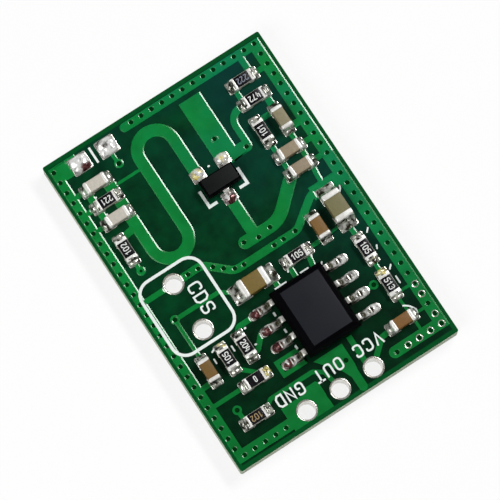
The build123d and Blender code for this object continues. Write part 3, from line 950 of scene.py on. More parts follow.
def settle(
    name: str,
    bm: bmesh.types.BMesh,
    materials: Sequence[bpy.types.Material],
    stands_for: Sequence[str] = (),
    smooth: float = 40.0,
) -> None:
    """Makes a finished mesh a piece of the board.

    Args:
        name: The piece's name.
        bm: Its mesh in millimetres, freed here.
        materials: Its materials, in the order of the faces' numbers.
        stands_for: The CAD nodes that it replaces.
        smooth: Edges sharper than this many degrees stay sharp.
    """
    bmesh.ops.scale(bm, vec=Vector((MM, MM, MM)), verts=bm.verts)
    mesh = meshed(name, bm)
    for material in materials:
        mesh.materials.append(material)
    mesh.shade_smooth()
    mesh.set_sharp_from_angle(angle=math.radians(smooth))
    piece = shown(name, mesh)
    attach(piece, BODY)
    if stands_for:
        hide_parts(*stands_for)
    log.info("%s: %d faces", name, len(mesh.polygons))


CORNER_STEPS = 4
CORNER_SHARE = 0.48


def rounded(points: Sequence[Point], radius: float, closed: bool) -> list[Vector]:
    """Rounds the corners of a line.

    Args:
        points: The line's points.
        radius: How far before a corner its curve starts, at most.
        closed: Whether the last point joins the first.

    Returns:
        The points of the rounded line.
    """
    corners = [Vector((*p, 0.0)) for p in points]
    count = len(corners)
    line: list[Vector] = []
    for i, corner in enumerate(corners):
        if radius <= 0 or (not closed and i in (0, count - 1)):
            line.append(corner)
            continue
        before, after = corners[i - 1] - corner, corners[(i + 1) % count] - corner
        back = corner + before.normalized() * min(radius, before.length * CORNER_SHARE)
        ahead = corner + after.normalized() * min(radius, after.length * CORNER_SHARE)
        for step in range(CORNER_STEPS + 1):
            t = step / CORNER_STEPS
            line.append(back * (1 - t) ** 2 + corner * 2 * t * (1 - t) + ahead * t * t)
    return line


class Pen:
    """Lays flat ribbons of ink into one mesh."""

    # How far out and how wide the two steps of a round end are, as shares of the ribbon's width
    tips = ((0.25, 0.866), (0.433, 0.5))
    sharpest = 0.5

    def __init__(self, level: float, height: float) -> None:
        """Starts an empty mesh.

        Args:
            level: Where the ink's underside lies, in millimetres.
            height: How thick the ink is.
        """
        self.bm = bmesh.new()
        self.level = level
        self.height = height

    def cross(self, line: Sequence[Vector], i: int, closed: bool, width: float) -> tuple[Vector, Vector]:
        """The two sides of the ribbon at a point.

        Args:
            line: The ribbon's middle line.
            i: The point's number.
            closed: Whether the line's ends join.
            width: The ribbon's width.

        Returns:
            The left and the right point.
        """
        count = len(line)
        before = line[i - 1] if closed or i > 0 else None
        after = line[(i + 1) % count] if closed or i < count - 1 else None
        first = (line[i] - before).normalized() if before is not None else None
        second = (after - line[i]).normalized() if after is not None else None
        heading = ((first or second) + (second or first)).normalized()
        side = Vector((-heading.y, heading.x, 0.0))
        leaning = (second or first).cross(Vector((0, 0, 1))).normalized()
        stretch = 1 / max(self.sharpest, abs(side.dot(leaning)))
        reach = side * (width / 2 * stretch)
        lift = Vector((0, 0, self.level))
        return line[i] + reach + lift, line[i] - reach + lift

    def stroke(
        self,
        points: Sequence[Point],
        width: float,
        radius: float = 0.0,
        closed: bool = False,
    ) -> None:
        """Draws one ribbon.

        Args:
            points: Its middle line.
            width: Its width.
            radius: How far its corners are rounded.
            closed: Whether the last point joins the first.
        """
        line = rounded(points, radius, closed)
        sides = [self.cross(line, i, closed, width) for i in range(len(line))]
        if not closed:
            for end, other in ((0, 1), (-1, -2)):
                outward = (line[end] - line[other]).normalized()
                left, right = sides[end]
                middle = (left + right) / 2
                caps = [
                    (
                        middle + (left - middle) * narrow + outward * reach * width,
                        middle + (right - middle) * narrow + outward * reach * width,
                    )
                    for reach, narrow in self.tips
                ]
                sides = caps[::-1] + sides if end == 0 else sides + caps
        if closed:
            sides.append(sides[0])
        ends = [self.bm.verts.new(place) for place in sides[0]]
        edge = self.bm.edges.new(ends)
        for places in sides[1:]:
            made = bmesh.ops.extrude_edge_only(self.bm, edges=[edge])["geom"]
            fresh = set(new_verts(made))
            ends = [next(e.other_vert(v) for e in v.link_edges if e.other_vert(v) in fresh) for v in ends]
            for end, place in zip(ends, places):
                end.co = place
            edge = self.bm.edges.get(ends)
        if closed:
            bmesh.ops.remove_doubles(self.bm, verts=self.bm.verts, dist=NOTHING)

    def finish(self) -> bmesh.types.BMesh:
        """Gives the ribbons their thickness.

        Returns:
            The mesh.
        """
        raised = bmesh.ops.extrude_face_region(self.bm, geom=self.bm.faces[:])["geom"]
        bmesh.ops.translate(self.bm, vec=(0, 0, self.height), verts=new_verts(raised))
        bmesh.ops.recalc_face_normals(self.bm, faces=self.bm.faces)
        return self.bm


GLYPHS: dict[str, tuple[tuple[bool, tuple[Point, ...]], ...]] = {
    "0": ((True, ((0, 0), (0.6, 0), (0.6, 1), (0, 1))),),
    "1": ((False, ((0.12, 0.8), (0.36, 1), (0.36, 0))),),
    "2": ((False, ((0, 0.8), (0.05, 1), (0.55, 1), (0.6, 0.62), (0.02, 0), (0.6, 0))),),
    "3": (
        (False, ((0, 0.9), (0.1, 1), (0.6, 1), (0.6, 0.53), (0.22, 0.53))),
        (False, ((0.4, 0.53), (0.6, 0.5), (0.6, 0), (0.1, 0), (0, 0.12))),
    ),
    "4": ((False, ((0.06, 1), (0, 0.36), (0.6, 0.36))), (False, ((0.46, 0.78), (0.46, 0)))),
    "5": ((False, ((0.56, 1), (0.05, 1), (0.02, 0.55), (0.6, 0.62), (0.6, 0), (0.1, 0), (0, 0.15))),),
    "7": ((False, ((0, 1), (0.6, 1), (0.2, 0))),),
    "C": ((False, ((0.6, 0.78), (0.6, 1), (0, 1), (0, 0), (0.6, 0), (0.6, 0.22))),),
    "D": ((True, ((0, 0), (0.4, 0), (0.6, 0.22), (0.6, 0.78), (0.4, 1), (0, 1))),),
    "G": ((False, ((0.6, 0.78), (0.6, 1), (0, 1), (0, 0), (0.6, 0), (0.6, 0.45), (0.36, 0.45))),),
    "N": ((False, ((0, 0), (0, 1), (0.6, 0), (0.6, 1))),),
    "O": ((True, ((0, 0), (0.6, 0), (0.6, 1), (0, 1))),),
    "S": (
        (
            False,
            (
                (0.6, 0.8),
                (0.6, 1),
                (0, 1),
                (0, 0.5),
                (0.6, 0.5),
                (0.6, 0),
                (0, 0),
                (0, 0.2),
            ),
        ),
    ),
    "T": ((False, ((0, 1), (0.6, 1))), (False, ((0.3, 1), (0.3, 0)))),
    "U": ((False, ((0, 1), (0, 0), (0.6, 0), (0.6, 1))),),
    "V": ((False, ((0, 1), (0.3, 0), (0.6, 1))),),
}
GLYPH_WIDTH = 0.6
GLYPH_ROUNDING = 0.26
SHARP_GLYPHS = "14DNTV7"


class Reading(Enum):
    """Which way a line of letters runs, as its turn in degrees from left to right."""

    ACROSS = 0
    UPWARD = 90
    UPSIDE_DOWN = 180
    DOWNWARD = -90


def letter(
    pen: Pen,
    text: str,
    start: Point,
    height: float,
    pitch: float,
    stroke: float,
    reading: Reading,
    slim: float = 1.0,
) -> None:
    """Writes a word in plain rounded strokes.

    Args:
        pen: The pen that draws.
        text: The word.
        start: The lower left corner of its first letter, in the word's own direction.
        height: Height of the letters.
        pitch: From one letter to the next.
        stroke: Width of the strokes.
        reading: Which way the word runs.
        slim: How wide the letters are against their usual width.
    """
    turn = Matrix.Rotation(math.radians(reading.value), 2)
    tall = height - stroke
    for i, sign in enumerate(text):
        radius = 0.0 if sign in SHARP_GLYPHS else GLYPH_ROUNDING * height
        for closed, points in GLYPHS[sign]:
            placed = []
            for x, y in points:
                along = stroke / 2 + i * pitch + x * tall * slim
                spot = turn @ Vector((along, stroke / 2 + y * tall))
                placed.append((start[0] + spot.x, start[1] + spot.y))
            pen.stroke(placed, stroke, radius, closed)


@dataclass
class BareBoard:
    """The laminate under its solder mask."""

    finishes: Finishes
    rim: float = 0.03
    margin: float = 0.2
    upright: float = 0.9

    def on_outline(self, edge: bmesh.types.BMEdge) -> bool:
        """Whether an edge runs round the board's face.

        Args:
            edge: An edge of the laminate.

        Returns:
            True for the level, sharp edges at the board's sides.
        """
        at_side = all(
            abs(v.co.x) > BOARD.high.x - self.margin or abs(v.co.y) > BOARD.high.y - self.margin
            for v in edge.verts
        )
        return at_side and crease(edge) and rises(edge) < SAME_HEIGHT

    def build(self) -> None:
        """Makes the laminate, its faces masked and its cut sides bare."""
        bm = copy_of("circuit_board")
        bevelled(bm, [e for e in bm.edges if self.on_outline(e)], self.rim)
        paint((f for f in bm.faces if abs(f.normal.z) < self.upright), 1)
        finishes = [self.finishes.laminate, self.finishes.cut]
        settle("masked_laminate", bm, finishes, ["circuit_board"], smooth=12.0)


@dataclass
class ViaField:
    """The small plated holes that tie the ground copper and the tracks to the underside.

    The rows run between two places. The top, right and foot rows meet at the board's corners.
    """

    finishes: Finishes
    pitch: float = 0.785
    least_gap: float = 3.0
    throat: float = 0.15
    sides: int = 12
    sunk: float = 0.25
    slope: float = 16.8
    bore_shade_share: float = 0.96
    bore_shade_depth: float = 0.2
    bare_radius: float = 0.24
    masked_radius: float = 0.28
    ring_gap: float = 0.03
    ring_rise: float = 0.02
    ring_lips: Point = (0.02, 0.03)
    ring_steps: int = 20
    rows: tuple[tuple[Point, Point], ...] = (
        ((7.63, 11.15), (-1.87, 11.15)),
        ((7.63, -10.74), (7.63, 11.15)),
        ((4.23, -10.74), (7.63, -10.74)),
        ((-7.84, 11.05), (-7.84, -10.3)),
        ((-7.5, -10.95), (-4.35, -10.95)),
    )
    band: tuple[Point, ...] = (
        (-4.2, 0.76),
        (-3.45, 0.72),
        (-2.6, 0.3),
        (-2.07, -0.15),
        (-1.48, -0.55),
        (-0.85, -0.66),
        (1.47, -0.66),
        (2.18, -0.66),
        (3.1, -0.62),
    )
    source: tuple[Point, ...] = ((-0.07, 0.55), (0.92, 0.33), (1.87, 0.47))
    stub: tuple[Point, ...] = ((2.05, 7.28), (3.5, 5.72))
    tracks: tuple[Point, ...] = (
        (-3.98, 9.28),
        (-6.6, 2.6),
        (-6.5, -1.25),
        (-6.35, -8.3),
        (5.38, -6.3),
        (1.2, -9.4),
    )
    bare: tuple[Point, ...] = (
        (7.63, -7.69),
        (7.63, -8.45),
        (7.63, -9.98),
        (7.63, -10.74),
        (6.78, -10.74),
        (5.93, -10.74),
        (5.08, -10.74),
    )

    def spaced(self, start: Point, end: Point) -> list[Point]:
        """Places evenly spaced from one point to another.

        Args:
            start: The first place.
            end: The last place.

        Returns:
            The places, about a pitch apart.
        """
        length = math.dist(start, end)
        count = max(1, round(length / self.pitch))
        steps = (i / count for i in range(count + 1))
        return [(start[0] + (end[0] - start[0]) * t, start[1] + (end[1] - start[1]) * t) for t in steps]

    def ground(self) -> list[Point]:
        """Finds the vias in the ground copper.

        Returns:
            Their places, without those that would touch one before them.
        """
        places = [p for start, end in self.rows for p in self.spaced(start, end)] + list(self.band)
        kept: list[Point] = []
        for place in places:
            if all(math.dist(place, other) > self.throat * self.least_gap for other in kept):
                kept.append(place)
        return kept

    def every(self) -> list[Point]:
        """All the vias."""
        return self.ground() + list(self.source) + list(self.stub) + list(self.tracks)

    def bits(self, places: Sequence[Point], inner: float, outer: float) -> bmesh.types.BMesh:
        """Makes the shapes that are cut out for the vias, straight below and flared at the mouth.

        Args:
            places: Where the vias are.
            inner: Level of the sheet's face on the laminate.
            outer: Level of its outer face.

        Returns:
            The shapes, in one mesh.
        """
        rise = outer - inner
        start, neck, end = inner - rise, outer - rise * self.sunk, outer + rise
        mouth = 1 + abs(end - neck) / math.tan(math.radians(self.slope)) / self.throat
        bm = bmesh.new()
        for x, y in places:
            made = bmesh.ops.create_cone(
                bm,
                cap_ends=True,
                segments=self.sides,
                radius1=self.throat,
                radius2=self.throat,
                depth=abs(neck - start),
                matrix=Matrix.Translation((x, y, (start + neck) / 2)),
            )
            cap = [f for f in new_faces(made) if at_level(f, neck, NOTHING)]
            raised = bmesh.ops.extrude_face_region(bm, geom=cap)["geom"]
            bmesh.ops.delete(bm, geom=[f for f in cap if f.is_valid], context="FACES_ONLY")
            for v in new_verts(raised):
                v.co = Vector((x + (v.co.x - x) * mouth, y + (v.co.y - y) * mouth, end))
        bmesh.ops.recalc_face_normals(bm, faces=bm.faces)
        return bm

    def drill(
        self, bm: bmesh.types.BMesh, places: Sequence[Point], inner: float, outer: float
    ) -> bmesh.types.BMesh:
        """Drills the vias through a copper sheet.

        Args:
            bm: The sheet, freed here.
            places: Where the vias are.
            inner: Level of the sheet's face on the laminate.
            outer: Level of its outer face.

        Returns:
            The drilled sheet.
        """
        sheet = shown("sheet", meshed("sheet", bm))
        tools = shown("drills", meshed("drills", self.bits(places, inner, outer)))
        cut = sheet.modifiers.new("vias", "BOOLEAN")
        cut.operation = "DIFFERENCE"
        cut.solver = "EXACT"
        cut.use_self = True
        cut.object = tools
        view = bpy.context.evaluated_depsgraph_get()
        drilled = bmesh.new()
        drilled.from_mesh(bpy.data.meshes.new_from_object(sheet.evaluated_get(view)))
        for thing in (sheet, tools):
            bpy.data.objects.remove(thing)
        return flattened(drilled)

    def ring(self, bm: bmesh.types.BMesh, place: Point, outer: float) -> None:
        """Spins one raised ring round a via.

        Args:
            bm: The mesh that takes it.
            place: Where the via is.
            outer: The ring's outer radius.
        """
        inner, rise = self.throat + self.ring_gap, self.ring_rise
        profile = (
            (inner, -FOIL),
            (inner, rise / 2),
            (inner + self.ring_lips[0], rise),
            (outer - self.ring_lips[1], rise),
            (outer, 0.0),
            (outer, -FOIL / 2),
        )
        spun(bm, profile, (*place, COPPER_TOP), self.ring_steps)

    def build(self) -> None:
        """Makes a dark disc in each via's bore, painted shade where the hole is dark, and the raised rings of
        those that have one.
        """
        bore_shades = bmesh.new()
        for x, y in self.every():
            bmesh.ops.create_cone(
                bore_shades,
                cap_ends=True,
                segments=self.sides,
                radius1=self.throat * self.bore_shade_share,
                radius2=self.throat * self.bore_shade_share,
                depth=FOIL * self.bore_shade_depth,
                matrix=Matrix.Translation((x, y, LAMINATE_TOP + FOIL * self.bore_shade_depth / 2)),
            )
        settle("via_bore_shades", bore_shades, [self.finishes.bore_shade])
        rings = bmesh.new()
        for place in self.bare:
            self.ring(rings, place, self.bare_radius)
        settle("bare_via_rings", rings, [self.finishes.pad])
        masked = bmesh.new()
        self.ring(masked, self.stub[0], self.masked_radius)
        settle("masked_via_ring", masked, [self.finishes.copper])


@dataclass
class CopperRelief:
    """The masked copper, which stands a little above the laminate with sloping shoulders."""

    finishes: Finishes
    vias: ViaField
    shoulder: float = 0.085
    fine_shoulder: float = 0.065
    longest_reach: float = 3.0
    slope: float = 15.0
    step: float = 0.03
    level_gap: float = 0.002
    square_right: float = 7.9
    right_glint_foot: float = 2.5
    glint_foot: float = -6.0
    foot_gap: float = 0.001

    def plain(self, node: str, root: float, face: float) -> bmesh.types.BMesh:
        """Copies a sheet with its short steps merged, cut across where its right edge changes.

        Args:
            node: The CAD node.
            root: Level of the sheet's face on the laminate.
            face: Level of its outer face.

        Returns:
            The mesh, in millimetres.
        """
        bm = copy_of(node)
        for level in (root, face):
            ring = [v for v in bm.verts if abs(v.co.z - level) < self.level_gap]
            bmesh.ops.remove_doubles(bm, verts=ring, dist=self.step)
        if Box.of(node).high.x > self.square_right:
            whole = bm.verts[:] + bm.edges[:] + bm.faces[:]
            bmesh.ops.bisect_plane(bm, geom=whole, plane_co=(0, self.right_glint_foot, 0), plane_no=(0, 1, 0))
        return bm

    def slant(self, bm: bmesh.types.BMesh, root: float, face: float, shoulder: float) -> None:
        """Slopes a sheet down at its edges.

        Edges at the header and low on the right stay square, as the photograph shows no glint there.

        Args:
            bm: The sheet.
            root: Level of its face on the laminate.
            face: Level of its outer face.
            shoulder: How broad the slope is.
        """
        flat = [f for f in bm.faces if at_level(f, face, self.level_gap)]
        flat = bmesh.ops.triangulate(bm, faces=flat)["faces"]
        slope = bmesh.ops.inset_region(
            bm, faces=flat, thickness=shoulder, depth=0.0, use_boundary=True, use_even_offset=True
        )["faces"]
        kept = {v for f in flat for v in f.verts}
        drop = math.copysign(shoulder * math.tan(math.radians(self.slope)), face - root)
        for v in each_once(v for f in slope for v in f.verts if v not in kept):
            for inner in (e.other_vert(v) for e in v.link_edges if e.other_vert(v) in kept):
                reach = inner.co - v.co
                if reach.length > shoulder * self.longest_reach:
                    inner.co = v.co + reach.normalized() * shoulder
            foot = self.right_glint_foot if v.co.x > self.square_right else self.glint_foot
            if v.co.y > foot - self.foot_gap:
                v.co.z = face - drop

    def sheet(self, node: str, places: Sequence[Point], shoulder: float) -> None:
        """Makes one sheet of copper with its shoulders and its vias.

        Args:
            node: The CAD node that it stands for.
            places: The vias drilled through it.
            shoulder: How broad the slope at its edges is.
        """
        box = Box.of(node)
        under = box.high.z < LAMINATE_TOP
        root, face = (box.high.z, box.low.z) if under else (box.low.z, box.high.z)
        bm = self.plain(node, root, face)
        self.slant(bm, root, face, shoulder)
        if places:
            bm = self.vias.drill(bm, places, root, face)
        settle(f"masked_{node}", bm, [self.finishes.copper], [node], smooth=12.0)

    def build(self) -> None:
        """Makes every sheet."""
        self.sheet("ground_copper", self.vias.ground(), self.shoulder)
        self.sheet("meander_antenna", (), self.shoulder)
        self.sheet("resonator_stub", self.vias.stub, self.shoulder)
        self.sheet("source_line", self.vias.source, self.shoulder)
        self.sheet("signal_tracks", (), self.fine_shoulder)
        self.sheet("underside_copper", self.vias.every(), self.shoulder)


@dataclass
class PlatedHoles:
    """The five plated holes, each a tinned barrel with a ring on both faces.

    The upper ring swells to a crest, and to a share of it on either side.
    """

    finishes: Finishes
    ring_width: float = 0.13
    barrel_wall: float = 0.04
    swell: float = 0.03
    outer_swell: float = 0.5
    inner_swell: float = 0.6
    crest_from_rim: float = 0.07
    crest_from_bore: float = 0.035
    bore_lip: float = 0.01
    lip: float = 0.03
    rim: float = 0.02
    steps: int = 48

    def profile(self, box: Box) -> tuple[Point, ...]:
        """Draws half the section of a barrel.

        Args:
            box: The CAD barrel's box.

        Returns:
            Radii and heights, from the lower mouth round the outside to the upper mouth.
        """
        outer = box.size.x / 2
        inner = outer - self.ring_width
        wall = inner + self.barrel_wall
        top, low = box.high.z, box.low.z
        lower = (
            (inner, low + self.lip),
            (inner + self.lip, low),
            (outer - self.rim, low),
            (outer, low + self.rim),
            (outer, low + FOIL),
        )
        barrel = ((wall, low + FOIL), (wall, top - FOIL))
        upper = (
            (outer, top - FOIL),
            (outer, top - self.rim),
            (outer - self.lip, top + self.swell * self.outer_swell),
            (outer - self.crest_from_rim, top + self.swell),
            (inner + self.crest_from_bore, top + self.swell * self.inner_swell),
            (inner + self.bore_lip, top - self.rim),
            (inner, top - 2 * self.lip),
        )
        return lower + barrel + upper

    def build(self) -> None:
        """Spins each barrel with rounded, solder-wet lips."""
        for node in sorted(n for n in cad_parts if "_hole_plating" in n):
            box = Box.of(node)
            bm = bmesh.new()
            spun(bm, self.profile(box), (box.centre.x, box.centre.y, 0.0), self.steps)
            settle(f"{node}_tinned", bm, [self.finishes.pad], [node], smooth=60.0)


@dataclass
class BarePads:
    """The tinned pads under the parts."""

    finishes: Finishes
    edge: float = 0.02
    corner: float = 0.1
    corner_faces: int = 3
    lead_corner: float = 0.28
    lead_corner_faces: int = 5
    past_toe: float = 0.75
    beside_row: float = 0.2

    def beyond_leads(self, place: Vector) -> bool:
        """Whether a pad's corner lies just past the toes of the control chip's leads.

        Args:
            place: The corner.

        Returns:
            True between the toes and the end of the leads' own pads.
        """
        leads = chip_leads()
        low_y = min(b.low.y for b in leads) - self.beside_row
        high_y = max(b.high.y for b in leads) + self.beside_row
        left, right = min(b.low.x for b in leads), max(b.high.x for b in leads)
        past = 0 < left - place.x < self.past_toe or 0 < place.x - right < self.past_toe
        return past and low_y < place.y < high_y

    def build(self) -> None:
        """Rounds the pads' corners and softens their upper edges."""
        bm = copy_of("component_pads")
        upright = [e for e in bm.edges if crease(e) and rises(e) > FOIL / 2]
        round_ones = [e for e in upright if self.beyond_leads(e.verts[0].co)]
        bevelled(bm, round_ones, self.lead_corner, self.lead_corner_faces)
        rest = [e for e in upright if e.is_valid and e not in round_ones]
        bevelled(bm, rest, self.corner, self.corner_faces)
        edges = [e for e in bm.edges if crease(e) and at_level(e, COPPER_TOP, SAME_HEIGHT)]
        bevelled(bm, edges, self.edge)
        settle("tinned_component_pads", bm, [self.finishes.pad], ["component_pads"])


@dataclass
class Printing:
    """The white ink that isn't in the CAD node: words, part outlines and dots."""

    finishes: Finishes
    ink: float = 0.02
    line: float = 0.125
    words: tuple[tuple[str, Point], ...] = (
        ("GND", (-1.95, -8.88)),
        ("OUT", (0.97, -8.88)),
        ("VCC", (3.97, -8.88)),
    )
    word_height: float = 0.88
    word_pitch: float = 0.745
    word_slim: float = 0.98
    cell_word: str = "CDS"
    cell_start: Point = (-4.78, 0.14)
    cell_height: float = 0.96
    cell_pitch: float = 0.78
    fine: float = 0.11
    corner: float = 0.2
    outlines: tuple[tuple[Point, ...], ...] = (
        ((-5.65, -4.3), (-5.2, -4.12), (-4.7, -4.1)),
        ((-5.8, -5.05), (-5.8, -4.75)),
        ((-4.4, -5.0), (-4.4, -4.65)),
        ((1.25, -2.6), (1.4, -2.3)),
        ((3.05, -2.6), (3.2, -2.3)),
        ((3.2, -3.45), (3.4, -3.25)),
        ((6.9, -3.2), (7.1, -3.0)),
        ((6.85, -4.45), (6.95, -4.25)),
        ((6.8, -6.0), (7.0, -5.8)),
        ((6.87, -7.1), (6.87, -6.6)),
        ((6.2, -8.45), (6.5, -8.65), (6.8, -9.1), (6.6, -9.6)),
        ((6.85, -0.05), (7.05, 0.1), (7.1, 0.3)),
    )
    dots: tuple[Point, ...] = (
        (-3.05, -4.15),
        (-3.05, -5.4),
        (-6.45, 8.2),
        (-6.45, 6.88),
        (0.75, 5.97),
    )
    dot_run: float = 0.03

    def write(self) -> None:
        """Prints the words at the holes."""
        pen = Pen(LAMINATE_TOP, FOIL + self.ink)
        turned = Reading.UPSIDE_DOWN
        for text, start in self.words:
            letter(pen, text, start, self.word_height, self.word_pitch, self.line, turned, self.word_slim)
        down = Reading.DOWNWARD
        letter(pen, self.cell_word, self.cell_start, self.cell_height, self.cell_pitch, self.line, down)
        settle("ink_words", pen.finish(), [self.finishes.ink])

    def outline(self) -> None:
        """Prints the bits of outline and the dots that show beside the parts."""
        pen = Pen(LAMINATE_TOP, FOIL + self.ink)
        for points in self.outlines:
            pen.stroke(points, self.fine, self.corner)
        for x, y in self.dots:
            pen.stroke(((x - self.dot_run, y), (x + self.dot_run, y)), self.line)
        settle("ink_part_outlines", pen.finish(), [self.finishes.ink])

    def build(self) -> None:
        """Whitens the CAD ink and prints the rest."""
        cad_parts["white_ink"].data.materials.clear()
        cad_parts["white_ink"].data.materials.append(self.finishes.ink)
        self.write()
        self.outline()


@dataclass(frozen=True)
class ChipBox:
    """Where a chip part lies, which way, and how long its metal ends are."""

    node: str
    small_cap: float = 0.3
    large_cap: float = 0.42
    large_length: float = 1.8

    @property
    def box(self) -> Box:
        """The chip's box."""
        return Box.of(self.node)

    @property
    def upright(self) -> bool:
        """Whether the chip lies along Y."""
        return self.box.size.y > self.box.size.x

    @property
    def length(self) -> float:
        """The chip's longer side."""
        return max(self.box.size.x, self.box.size.y)

    @property
    def width(self) -> float:
        """The chip's shorter side."""
        return min(self.box.size.x, self.box.size.y)

    @property
    def height(self) -> float:
        """How tall the chip is."""
        return self.box.size.z

    @property
    def large(self) -> bool:
        """Whether the chip is of the larger size."""
        return self.length > self.large_length

    @property
    def cap(self) -> float:
        """How much of each end is metal."""
        return self.large_cap if self.large else self.small_cap

    def end(self, side: int) -> Point:
        """The range along the chip that the metal at one end takes up, from -1 or 1 for the end."""
        low, high = sorted((side * self.length / 2, side * (self.length / 2 - self.cap)))
        return low, high

    def placed(self) -> Matrix:
        """Finds where the chip lies.

        Returns:
            What takes a chip made along X, its foot at the origin, to its place.
        """
        middle = self.box.centre
        turn = Matrix.Rotation(math.pi / 2, 4, "Z") if self.upright else Matrix.Identity(4)
        return Matrix.Translation((middle.x, middle.y, self.box.low.z)) @ turn


@dataclass
class ChipCapacitors:
    """The ceramic chip capacitors, each a fired block with a metal cap on both ends."""

    finishes: Finishes
    soft: float = 0.07
    cap_soft: float = 0.11
    cap_soft_faces: int = 5
    cap_proud: float = 0.02
    wear_depth: float = 0.03
    wear_per_mm: float = 3.0
    wear_seed: float = 7.1
    colours: tuple[tuple[int, int, int], ...] = (
        (198, 192, 180),
        (196, 190, 178),
        (138, 130, 102),
        (150, 136, 112),
        (148, 134, 112),
        (124, 92, 46),
        (114, 86, 38),
        (122, 86, 40),
        (118, 98, 46),
        (118, 114, 78),
    )

    def wear(self, bm: bmesh.types.BMesh, seed: int) -> None:
        """Makes the inner edge of each cap a little uneven.

        Args:
            bm: The chip's mesh, along X.
            seed: Sets this chip's unevenness apart.
        """
        for v in bm.verts:
            if v.link_faces[0].material_index == 1:
                end = 1 if v.co.x > 0 else 0
                where = (v.co.y * self.wear_per_mm, v.co.z * self.wear_per_mm, seed * self.wear_seed + end)
                v.co.x += noise.noise(Vector(where)) * self.wear_depth

    def build(self) -> None:
        """Makes every capacitor in its own colour."""
        for i, colour in enumerate(self.colours, start=1):
            chip = ChipBox(f"capacitor_{i}")
            half, wide, tall = chip.length / 2, chip.width / 2, chip.height
            p = self.cap_proud
            bm = bmesh.new()
            block(bm, (-half + p, -wide + p, p), (half - p, wide - p, tall - p), self.soft, 0)
            for side in (-1, 1):
                low, high = chip.end(side)
                block(bm, (low, -wide, 0.0), (high, wide, tall), self.cap_soft, 1, self.cap_soft_faces)
            self.wear(bm, i)
            bmesh.ops.transform(bm, matrix=chip.placed(), verts=bm.verts)
            ceramic = self.finishes.ceramic(f"ceramic_{i}", linear(*colour))
            materials = [ceramic, self.finishes.cap]
            settle(f"capacitor_{i}_fired", bm, materials, [chip.node], smooth=50.0)


@dataclass(frozen=True)
class Marking:
    """What is printed on a resistor and which way it reads."""

    text: str
    reading: Reading
    tone: Tone = Tone.WHITE
    slim: float = 0.84


@dataclass
class ChipResistors:
    """The chip resistors, each a white ceramic plate with a black glaze and two metal ends."""

    finishes: Finishes
    soft: float = 0.035
    plate_inset: Place = (0.02, 0.01, 0.01)
    cap_proud: float = 0.012
    cap_softer: float = 1.3
    glaze_overlap: float = 0.02
    glaze_height: float = 0.025
    glaze_inset: float = 0.035
    glaze_depth: float = 0.02
    glaze_soft: float = 0.018
    digit_height: float = 0.43
    digit_pitch: float = 0.275
    digit_stroke: float = 0.062
    digit_ink: float = 0.008
    markings: tuple[Marking, ...] = (
        Marking("221", Reading.UPSIDE_DOWN),
        Marking("102", Reading.UPWARD),
        Marking("222", Reading.UPSIDE_DOWN, Tone.FAINT),
        Marking("472", Reading.UPSIDE_DOWN),
        Marking("101", Reading.UPWARD),
        Marking("105", Reading.ACROSS),
        Marking("105", Reading.UPWARD),
        Marking("204", Reading.DOWNWARD),
        Marking("0", Reading.ACROSS, slim=0.62),
        Marking("102", Reading.UPSIDE_DOWN, Tone.TAN),
        Marking("105", Reading.DOWNWARD),
        Marking("513", Reading.DOWNWARD),
    )

    def chip(self, chip: ChipBox) -> bmesh.types.BMesh:
        """Makes a resistor without its number, along X.

        Args:
            chip: Where it lies and its size.

        Returns:
            The plate, its two ends and the glaze, as materials 0, 2 and 1.
        """
        half, wide, tall = chip.length / 2, chip.width / 2, chip.height
        top = tall - self.glaze_height
        x, y, z = self.plate_inset
        bm = bmesh.new()
        block(bm, (-half + x, -wide + y, z), (half - x, wide - y, top), self.soft, 0)
        for side in (-1, 1):
            low, high = chip.end(side)
            cap_top = top + self.cap_proud
            block(bm, (low, -wide, 0.0), (high, wide, cap_top), self.soft * self.cap_softer, 2)
        reach = half - chip.cap + self.glaze_overlap
        side_y = wide - self.glaze_inset
        block(bm, (-reach, -side_y, top - self.glaze_depth), (reach, side_y, tall), self.glaze_soft, 1)
        return bm

    def mark(self, bm: bmesh.types.BMesh, chip: ChipBox, marking: Marking) -> None:
        """Prints the number on the glaze.

        Args:
            bm: The mesh that takes it, as material 3.
            chip: The resistor.
            marking: The number.
        """
        pen = Pen(chip.box.low.z + chip.height - self.digit_ink / 2, self.digit_ink)
        tall = self.digit_height - self.digit_stroke
        glyph = GLYPH_WIDTH * tall * marking.slim + self.digit_stroke
        run = (len(marking.text) - 1) * self.digit_pitch + glyph
        turn = Matrix.Rotation(math.radians(marking.reading.value), 2)
        back = turn @ Vector((run / 2, self.digit_height / 2))
        start = (chip.box.centre.x - back.x, chip.box.centre.y - back.y)
        letter(
            pen,
            marking.text,
            start,
            self.digit_height,
            self.digit_pitch,
            self.digit_stroke,
            marking.reading,
            marking.slim,
        )
        inked = pen.finish()
        paint(inked.faces, 3)
        bm.from_mesh(meshed("marking", inked))

    def build(self) -> None:
        """Makes every resistor with its marking."""
        for i, marking in enumerate(self.markings, start=1):
            chip = ChipBox(f"resistor_{i}")
            bm = self.chip(chip)
            bmesh.ops.transform(bm, matrix=chip.placed(), verts=bm.verts)
            self.mark(bm, chip, marking)
            digit = self.finishes.digits[marking.tone]
            materials = [self.finishes.alumina, self.finishes.glaze, self.finishes.cap, digit]
            settle(f"resistor_{i}_marked", bm, materials, [chip.node], smooth=50.0)


@dataclass(frozen=True)
class Fillets:
    """The solder at the ends of one kind of chip.

    It climbs a share of the chip's height and laps a little under the chip's end.
    """

    kind: str
    count: int
    climb: float
    lap: float
    first_seed: float


@dataclass(frozen=True)
class Lumps:
    """The solder over the feet of one package's leads, lower at a neck behind each toe."""

    kind: str
    count: int
    length: float
    width: float
    rise: float
    neck: float
    along_x: bool
    first_seed: float


